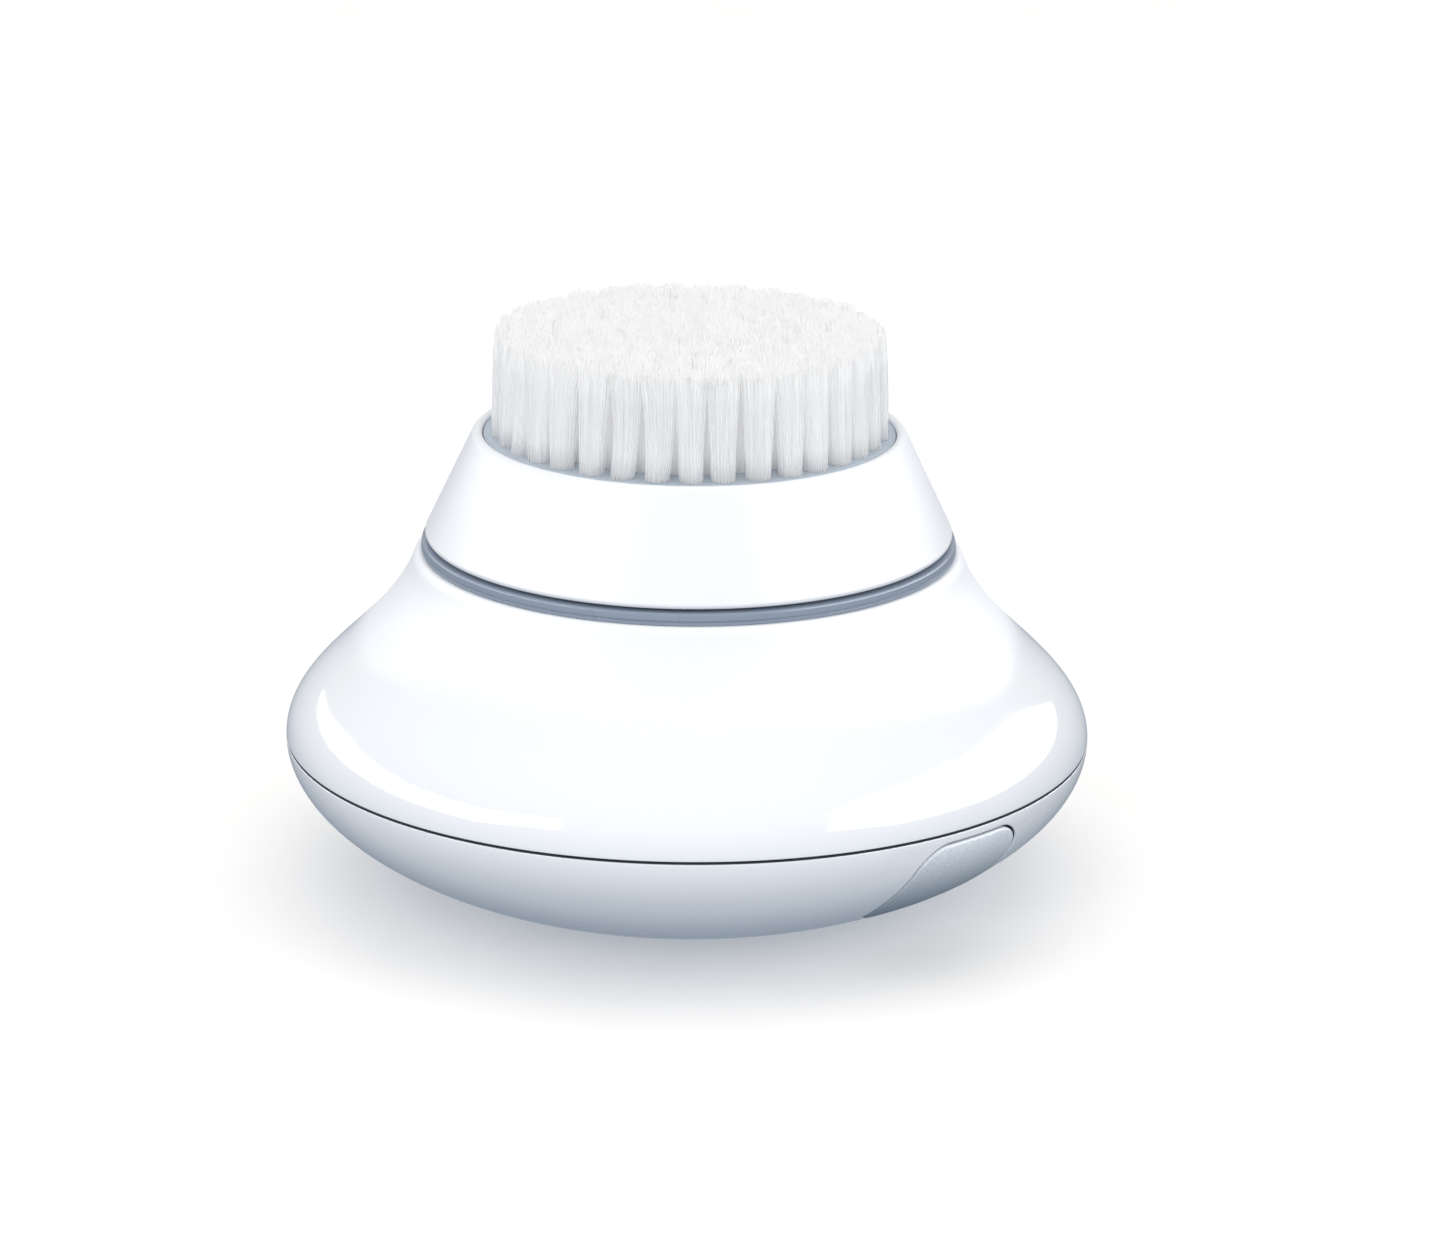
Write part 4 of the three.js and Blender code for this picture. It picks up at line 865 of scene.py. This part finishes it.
# %% Upper shell
CONE_TOP_R = 23.0
CONE_WALL = 1.6
NECK_CLEAR = 1.2
NECK_WALL = 1.6
NECK_INSET = 1.8  # the neck wall measured level, with a little for its slope
seam_high = SEAM_Z + SEAM_GAP / 2
neck_slope = (CONE_R - CONE_TOP_R) / (CONE_TOP - CONE_FOOT - 0.6)
cone_wall = CONE_WALL * math.hypot(1, neck_slope)
neck_root = CONE_R - neck_slope * (DECK_Z - CONE_FOOT) - cone_wall - NECK_CLEAR


def neck_radius(z):
    return neck_root - neck_slope * (z - DECK_Z)


upper_start = upper_curve.where(1, seam_high + LIP_R)
outside = upper_curve.between(upper_start, upper_curve.length - 0.4, 72)
inner_top = upper_curve.where(1, DECK_Z - NECK_WALL - 0.1, WALL)
upper_inside = upper_curve.between(inner_top, upper_curve.where(1, seam_high + 0.3, WALL), 20, WALL)
bush_r = 4.15
bush_low = 39.2
neck_under = NECK_TOP - NECK_WALL
deck_under = DECK_Z - NECK_WALL
upper_outline = rounded(
    [
        (BODY_R - WALL, seam_high, 0.15),
        (BODY_R - 0.02, seam_high, LIP_R),
        *outside,
        (DECK_R - 0.15, DECK_Z - 0.02, 0.35),
        (neck_radius(DECK_Z), DECK_Z - 0.02, 0.4),
        (neck_radius(NECK_TOP), NECK_TOP, 0.8),
        (bush_r, NECK_TOP, 0.25),
        (bush_r, bush_low, 0.1),
        (bush_r + NECK_WALL, bush_low, 0.2),
        (bush_r + NECK_WALL, neck_under, 0.4),
        (neck_radius(neck_under) - NECK_INSET, neck_under, 0.6),
        (neck_radius(deck_under) - NECK_INSET, deck_under, 0.4),
        *upper_inside,
        (BODY_R - WALL, seam_high, 0),
    ]
)[:-1]
# the faces inside the seam take the painted gap shade
upper_shell = turned("upper_shell_dome", upper_outline, shaded=in_seam)
hand_over(upper_shell, "housing", shoulder_white, "upper_shell", second=painted_gap_shade)

# %% Collar ring
collar_inner = neck_radius(DECK_Z) + 0.2
COLLAR_GROOVE = 0.16
collar_outline = rounded(
    [
        (collar_inner, DECK_Z + 0.02),
        (COLLAR_R - 0.05, DECK_Z + 0.02, 0.12),
        (COLLAR_R - 0.02, DECK_Z + 0.3, 0.05),
        (COLLAR_R - COLLAR_GROOVE, DECK_Z + 0.38, 0.05),
        (COLLAR_R - COLLAR_GROOVE, DECK_Z + 0.46, 0.05),
        (COLLAR_R - 0.03, DECK_Z + 0.54, 0.06),
        (COLLAR_R - 0.12, COLLAR_TOP, 0.25),
        (collar_inner, COLLAR_TOP),
    ]
)
collar = turned("collar_band", collar_outline)
hand_over(collar, "housing", collar_grey, "collar_ring")

# %% [markdown]
# ## Brush head
#
# The cone is a plain skirt, but its rim decides how it reads: a rounded outer edge, a short fall inside,
# and the tuft plate just below it. The plate carries the tufts. Each tuft is a bundle of fine filaments
# that leave one hole close together and spread a little towards their trimmed tips. Thousands of nylon
# filaments pass light on to each other, which a renderer follows only so far, so every tuft has a dense
# white column in its middle and the nylon has a very faint glow, which is painted light standing in for that
# passed light.

# %% Cone
RIM_R = PLATE_R + 0.1
PLATE_T = 2.2
plate_low = PLATE_TOP - PLATE_T
cone_outline = rounded(
    [
        (CONE_R - cone_wall, CONE_FOOT),
        (CONE_R - 0.05, CONE_FOOT, 0.45),
        (CONE_TOP_R, CONE_TOP - 0.45, 0.6),
        (CONE_TOP_R - 0.45, CONE_TOP, 0.35),
        (RIM_R, CONE_TOP - 0.15, 0.45),
        (RIM_R, plate_low, 0.05),
        (RIM_R - 1.5, plate_low, 0.1),
        (RIM_R - 1.5, plate_low - 1.0, 0.2),
        (CONE_R - cone_wall - neck_slope * (plate_low - 1.2 - CONE_FOOT), plate_low - 1.2, 0.5),
    ],
    steps=8,
)
cone = turned("brush_head_cone", cone_outline)
hand_over(cone, "brush_head", satin_white, "brush_cone")

# %% Tuft plate with its drive hub
hub_low = low("tuft_plate")[2]
dog_corner = 8 / math.sqrt(3) + 0.1
plate_outline = rounded(
    [
        (0, PLATE_TOP),
        (TUFT_R + 0.25, PLATE_TOP, 0.1),
        (TUFT_R + 0.45, PLATE_TOP - 0.12, 0.1),
        (PLATE_R, PLATE_TOP - 0.02, 0.12),
        (PLATE_R, plate_low + 0.02, 0.3),
        (dog_corner + 2.4, plate_low + 0.02, 0.4),
        (dog_corner + 2.2, hub_low, 0.4),
        (dog_corner, hub_low, 0.2),
        (dog_corner, plate_low + 0.2, 0.2),
        (0, plate_low + 0.2),
    ]
)
plate = turned("tuft_carrier", plate_outline)
hand_over(plate, "brush_head", plate_grey, "tuft_plate")

# %% Where the tufts stand
TUFT_BASE_R = 1.22
TUFT_TIP_R = 1.78
TUFT_LEAN = 0.75  # how far the outer tufts lean in at their tips
OUTER_RING_R = TUFT_R - TUFT_BASE_R - 0.05
RING_STEP = 3.45
TUFT_RINGS = [(OUTER_RING_R - RING_STEP * ring, 35 - 6 * ring) for ring in range(6)]
FILAMENTS = 150
FILAMENT_R = 0.085
CORE_SHARE = 0.84  # the dense middle of a tuft, as a share of its spread
CORE_SIDES = 14
rng = np.random.default_rng(7)


def bundle_offsets(count):
    """Evenly spread places in a unit disc, shaken a little so no two tufts look alike."""
    index = np.arange(count) + 0.5
    radius = np.sqrt(index / count)
    turn = index * math.pi * (3 - math.sqrt(5)) + rng.uniform(0, 2 * math.pi)
    spread = np.stack([radius * np.cos(turn), radius * np.sin(turn)], axis=1)
    return spread + rng.normal(0, 0.035, spread.shape)


# %% The dense middle of a tuft
def tuft_core(points, faces, foot, tip_centre, bow, top):
    """Adds one soft-topped column; the loose filaments stand round it and out of its top."""
    first = len(points)
    shares = (0.0, 0.25, 0.5, 0.75, 0.9, 0.955)
    for level, share in enumerate(shares):
        ease = share**1.35
        centre = foot * (1 - ease) + tip_centre * ease + bow * math.sin(math.pi * share)
        reach = CORE_SHARE * (TUFT_BASE_R * (1 - ease) + TUFT_TIP_R * ease)
        if level == len(shares) - 1:
            reach *= 0.7
        z = (PLATE_TOP - 0.4) * (1 - share) + top * share
        for side in range(CORE_SIDES):
            turn = 2 * math.pi * side / CORE_SIDES
            points.append((centre[0] + reach * math.cos(turn), centre[1] + reach * math.sin(turn), z))
    for level in range(len(shares) - 1):
        for side in range(CORE_SIDES):
            a = first + level * CORE_SIDES + side
            b = first + level * CORE_SIDES + (side + 1) % CORE_SIDES
            faces.append((a, b, b + CORE_SIDES, a + CORE_SIDES))
    cap = first + (len(shares) - 1) * CORE_SIDES
    faces.append(tuple(cap + side for side in range(CORE_SIDES)))
    faces.append(tuple(first + side for side in reversed(range(CORE_SIDES))))


# %% Filaments of one ring of tufts
LEVELS = 5
SIDES = 3


def filament_ring(name, ring_radius, tuft_count, phase):
    """All the filaments of one ring of tufts, as one mesh of thin tapering prisms."""
    points, faces = [], []
    outer = ring_radius > OUTER_RING_R - 0.1
    for tuft in range(tuft_count):
        bearing = phase + 2 * math.pi * tuft / tuft_count + rng.normal(0, 0.006)
        out = np.array([math.cos(bearing), math.sin(bearing)])
        foot = out * ring_radius
        lean = rng.normal(0, 0.12, 2)
        tip_centre = out * (ring_radius - (TUFT_LEAN if outer else 0.0)) + lean
        offsets = bundle_offsets(FILAMENTS)
        bow = rng.normal(0, 0.12, 2)
        trim = rng.normal(0, 0.08)
        tuft_core(points, faces, foot, tip_centre, bow, TUFT_TOP - 0.2)
        for offset in offsets:
            stray = rng.normal(0, 0.10, 2)
            if rng.random() < 0.03:
                stray *= 3.0
            tip = tip_centre + offset * TUFT_TIP_R + stray
            reach = np.hypot(*tip)
            if reach > TUFT_R - 0.45:
                tip *= (TUFT_R - 0.45) / reach
            fall = 0.03 + abs(rng.normal(0, 0.15)) + 0.3 * (offset @ offset)
            top = TUFT_TOP - fall + min(trim, 0.05)
            base = foot + offset * TUFT_BASE_R
            twist = rng.uniform(0, 2 * math.pi)
            first = len(points)
            for level in range(LEVELS):
                share = level / (LEVELS - 1)
                ease = share**1.35
                centre = base * (1 - ease) + tip * ease + bow * math.sin(math.pi * share)
                z = (PLATE_TOP - 0.4) * (1 - share) + top * share
                radius = FILAMENT_R * (1 - 0.25 * share**3)
                for side in range(SIDES):
                    turn = twist + 2 * math.pi * side / SIDES
                    x = centre[0] + radius * math.cos(turn)
                    y = centre[1] + radius * math.sin(turn)
                    points.append((x, y, z))
            for level in range(LEVELS - 1):
                for side in range(SIDES):
                    a = first + level * SIDES + side
                    b = first + level * SIDES + (side + 1) % SIDES
                    faces.append((a, b, b + SIDES, a + SIDES))
            cap = first + (LEVELS - 1) * SIDES
            faces.append(tuple(cap + side for side in range(SIDES)))
            faces.append(tuple(first + side for side in reversed(range(SIDES))))
    mesh = bpy.data.meshes.new(name)
    mesh.from_pydata((np.array(points) * MM).tolist(), [], faces)
    mesh.shade_smooth()
    piece = bpy.data.objects.new(name, mesh)
    bpy.context.scene.collection.objects.link(piece)
    return piece


for index, (ring_radius, tuft_count) in enumerate(TUFT_RINGS):
    ring_name = f"tufts_ring_{index + 1}"
    ring_piece = filament_ring(ring_name, ring_radius, tuft_count, 0.05 + 0.9 * index)
    hand_over(ring_piece, "brush_head", nylon, "bristle_field")

# %% [markdown]
# ## Battery door
#
# Underneath, a round door closes the cell bay. It continues the bowl's curve to the flat that the brush
# rests on. Its edge is stepped to sit in the shell's rebate, with an O-ring on the collar inside.

# %% Door
DOOR_WALL = 1.8
DOOR_LIP = 1.6
DOOR_FLANGE = 1.0
GROOVE_DEPTH = 0.8
GROOVE_HALF = 0.5
door_start = lower_curve.where(0, DOOR_R - 0.2)
door_skin = lower_curve.between(door_start, lower_curve.length, 28)
flange_z = door_skin[0][1] + DOOR_FLANGE
lip_r = bore_r - DOOR_GAP
lip_top = high("battery_door")[2]
ring_z = (low("door_seal")[2] + high("door_seal")[2]) / 2
groove_r = lip_r - GROOVE_DEPTH
door_inner = lower_curve.where(0, lip_r - DOOR_LIP, DOOR_WALL)
door_outline = rounded(
    [
        (0, 0),
        *reversed(door_skin),
        (DOOR_R, door_skin[0][1] + 0.12, 0.12),
        (DOOR_R, flange_z, 0.15),
        (lip_r, flange_z, 0.1),
        (lip_r, ring_z - GROOVE_HALF, 0.08),
        (groove_r, ring_z - GROOVE_HALF, 0.08),
        (groove_r, ring_z + GROOVE_HALF, 0.08),
        (lip_r, ring_z + GROOVE_HALF, 0.08),
        (lip_r, lip_top, 0.2),
        (lip_r - DOOR_LIP, lip_top, 0.2),
        *lower_curve.between(door_inner, lower_curve.length, 14, DOOR_WALL),
        (0, DOOR_WALL),
    ]
)
door = turned("door_disc", door_outline)

# %% Notch in the door's edge
NOTCH_HALF = 5.0
notch_points = [
    (x, y, z)
    for z in (-1.0, flange_z - 0.3)
    for x, y in (
        (-NOTCH_HALF, lip_r + 0.15),
        (NOTCH_HALF, lip_r + 0.15),
        (NOTCH_HALF, DOOR_R + 1),
        (-NOTCH_HALF, DOOR_R + 1),
    )
]
notch_faces = [(0, 1, 2, 3), (4, 5, 6, 7), (0, 1, 5, 4), (1, 2, 6, 5), (2, 3, 7, 6), (3, 0, 4, 7)]
notch = finished("notch", notch_points, notch_faces)
cut = door.modifiers.new("notch", "BOOLEAN")
cut.object = notch
cut.operation = "DIFFERENCE"
cut.solver = "EXACT"
depsgraph = bpy.context.evaluated_depsgraph_get()
door.data = bpy.data.meshes.new_from_object(door.evaluated_get(depsgraph))
door.modifiers.clear()
bpy.data.objects.remove(notch)
print("door faces after the notch", len(door.data.polygons))
hand_over(door, "door", gloss_white, "battery_door")

# %% [markdown]
# ## Stage
#
# The floor is pale and plain. Gloss plastic shows whatever surrounds it, so the surroundings are part
# of the finish: a bright sky above, a cool grey below the horizon that shades the edges, and two long
# softboxes whose reflections lie along the shoulder on either side.

# %% Floor
floor_mesh = bpy.data.meshes.new("floor")
FLOOR_HALF = 4.0
floor_mesh.from_pydata(
    [
        (-FLOOR_HALF, -FLOOR_HALF, 0),
        (FLOOR_HALF, -FLOOR_HALF, 0),
        (FLOOR_HALF, FLOOR_HALF, 0),
        (-FLOOR_HALF, FLOOR_HALF, 0),
    ],
    [],
    [(0, 1, 2, 3)],
)
floor = bpy.data.objects.new("floor", floor_mesh)
floor.location.z = -0.0002
bpy.context.scene.collection.objects.link(floor)
floor_mesh.materials.append(
    plastic("floor", (0.90, 0.88, 0.86), (0.885, 0.865, 0.845), rough=(0.6, 0.8), mottle=0.1, glow=0.17)
)
floor.visible_diffuse = False
floor.visible_glossy = False


# %% Softbox panels seen only in reflections
PANEL_DISTANCE = 0.9


def panel(name, corners, strength):
    """A glowing sheet on a sphere round the brush; corners are (azimuth from -Y, elevation)."""
    points = []
    for azimuth, elevation in corners:
        a, e = math.radians(azimuth), math.radians(elevation)
        points.append((math.sin(a) * math.cos(e), -math.cos(a) * math.cos(e), math.sin(e)))
    half = len(points) // 2
    faces = [(k, k + 1, len(points) - 2 - k, len(points) - 1 - k) for k in range(half - 1)]
    mesh = bpy.data.meshes.new(name)
    mesh.from_pydata([tuple(PANEL_DISTANCE * c for c in p) for p in points], [], faces)
    sheet = bpy.data.objects.new(name, mesh)
    sheet.location = (0, 0, 20 * MM)
    bpy.context.scene.collection.objects.link(sheet)
    material = bpy.data.materials.new(name)
    material.use_nodes = True
    shader = material.node_tree.nodes["Principled BSDF"]
    shader.inputs["Base Color"].default_value = (0, 0, 0, 1)
    shader.inputs["Emission Color"].default_value = (1, 1, 1, 1)
    shader.inputs["Emission Strength"].default_value = strength
    mesh.materials.append(material)
    sheet.visible_camera = False
    sheet.visible_diffuse = False
    sheet.visible_shadow = False
    return sheet


PANEL_GLOW = 7.0
right_low = [(40, 21), (62, 13), (90, 9), (120, 9), (144, 9)]
right_high = [(128, 25), (108, 36), (86, 44), (62, 46), (47, 42)]
left_low = [(-36, 23), (-60, 13), (-88, 12), (-112, 12), (-146, 8)]
left_high = [(-123, 21), (-106, 25), (-90, 26), (-64, 29), (-38, 36)]
panel("right_panel", right_low + right_high, PANEL_GLOW)
panel("left_panel", left_low + left_high, PANEL_GLOW)


# %% Lamps
def area_lamp(name, place, size, power, colour=(1, 1, 1)):
    lamp = bpy.data.lights.new(name, "AREA")
    lamp.size = size
    lamp.energy = power
    lamp.color = colour
    holder = bpy.data.objects.new(name, lamp)
    holder.location = place
    holder.rotation_euler = (Vector((0, 0, 0.03)) - Vector(place)).to_track_quat("-Z", "Y").to_euler()
    holder.visible_glossy = False
    bpy.context.scene.collection.objects.link(holder)


area_lamp("top_light", (0.0, 0.25, 1.1), 1.2, 2.9)
area_lamp("front_light", (-0.1, -1.1, 0.24), 1.2, 7.0)
area_lamp("right_light", (1.1, -0.2, 0.4), 1.0, 2.5)
area_lamp("left_light", (-1.0, -0.2, 0.7), 1.0, 2.0)

# %% Surroundings
world = bpy.data.worlds.new("studio")
bpy.context.scene.world = world
world.use_nodes = True
tree = world.node_tree
tree.nodes.clear()
direction = add_node(tree, "ShaderNodeTexCoord")
split = add_node(tree, "ShaderNodeSeparateXYZ")
tree.links.new(direction.outputs["Generated"], split.inputs[0])
ramp = add_node(tree, "ShaderNodeValToRGB")
stops = ramp.color_ramp
stops.elements[0].position, stops.elements[0].color = 0.0, (0.30, 0.37, 0.46, 1)
stops.elements[1].position, stops.elements[1].color = 1.0, (1.0, 1.0, 1.0, 1)
SKY_STOPS = {0.38: (0.46, 0.53, 0.62, 1), 0.50: (0.74, 0.79, 0.85, 1), 0.60: (0.95, 0.955, 0.965, 1)}
for position, colour in SKY_STOPS.items():
    stop = stops.elements.new(position)
    stop.color = colour
height = add_node(tree, "ShaderNodeMapRange")
height.inputs["From Min"].default_value = -1
tree.links.new(split.outputs["Z"], height.inputs["Value"])
tree.links.new(height.outputs["Result"], ramp.inputs["Fac"])
seen = add_node(tree, "ShaderNodeLightPath")
choose = add_node(tree, "ShaderNodeMix", data_type="RGBA")
choose.inputs["B"].default_value = (1, 1, 1, 1)
tree.links.new(seen.outputs["Is Camera Ray"], choose.inputs["Factor"])
tree.links.new(ramp.outputs["Color"], choose.inputs["A"])
background = add_node(tree, "ShaderNodeBackground")
background.inputs["Strength"].default_value = 0.7
tree.links.new(choose.outputs["Result"], background.inputs["Color"])
world_out = add_node(tree, "ShaderNodeOutputWorld")
tree.links.new(background.outputs[0], world_out.inputs["Surface"])

# %% Colour as it is, without a film curve
bpy.context.scene.view_settings.view_transform = "Standard"
bpy.context.scene.view_settings.look = "None"
bpy.context.scene.cycles.diffuse_bounces = 8
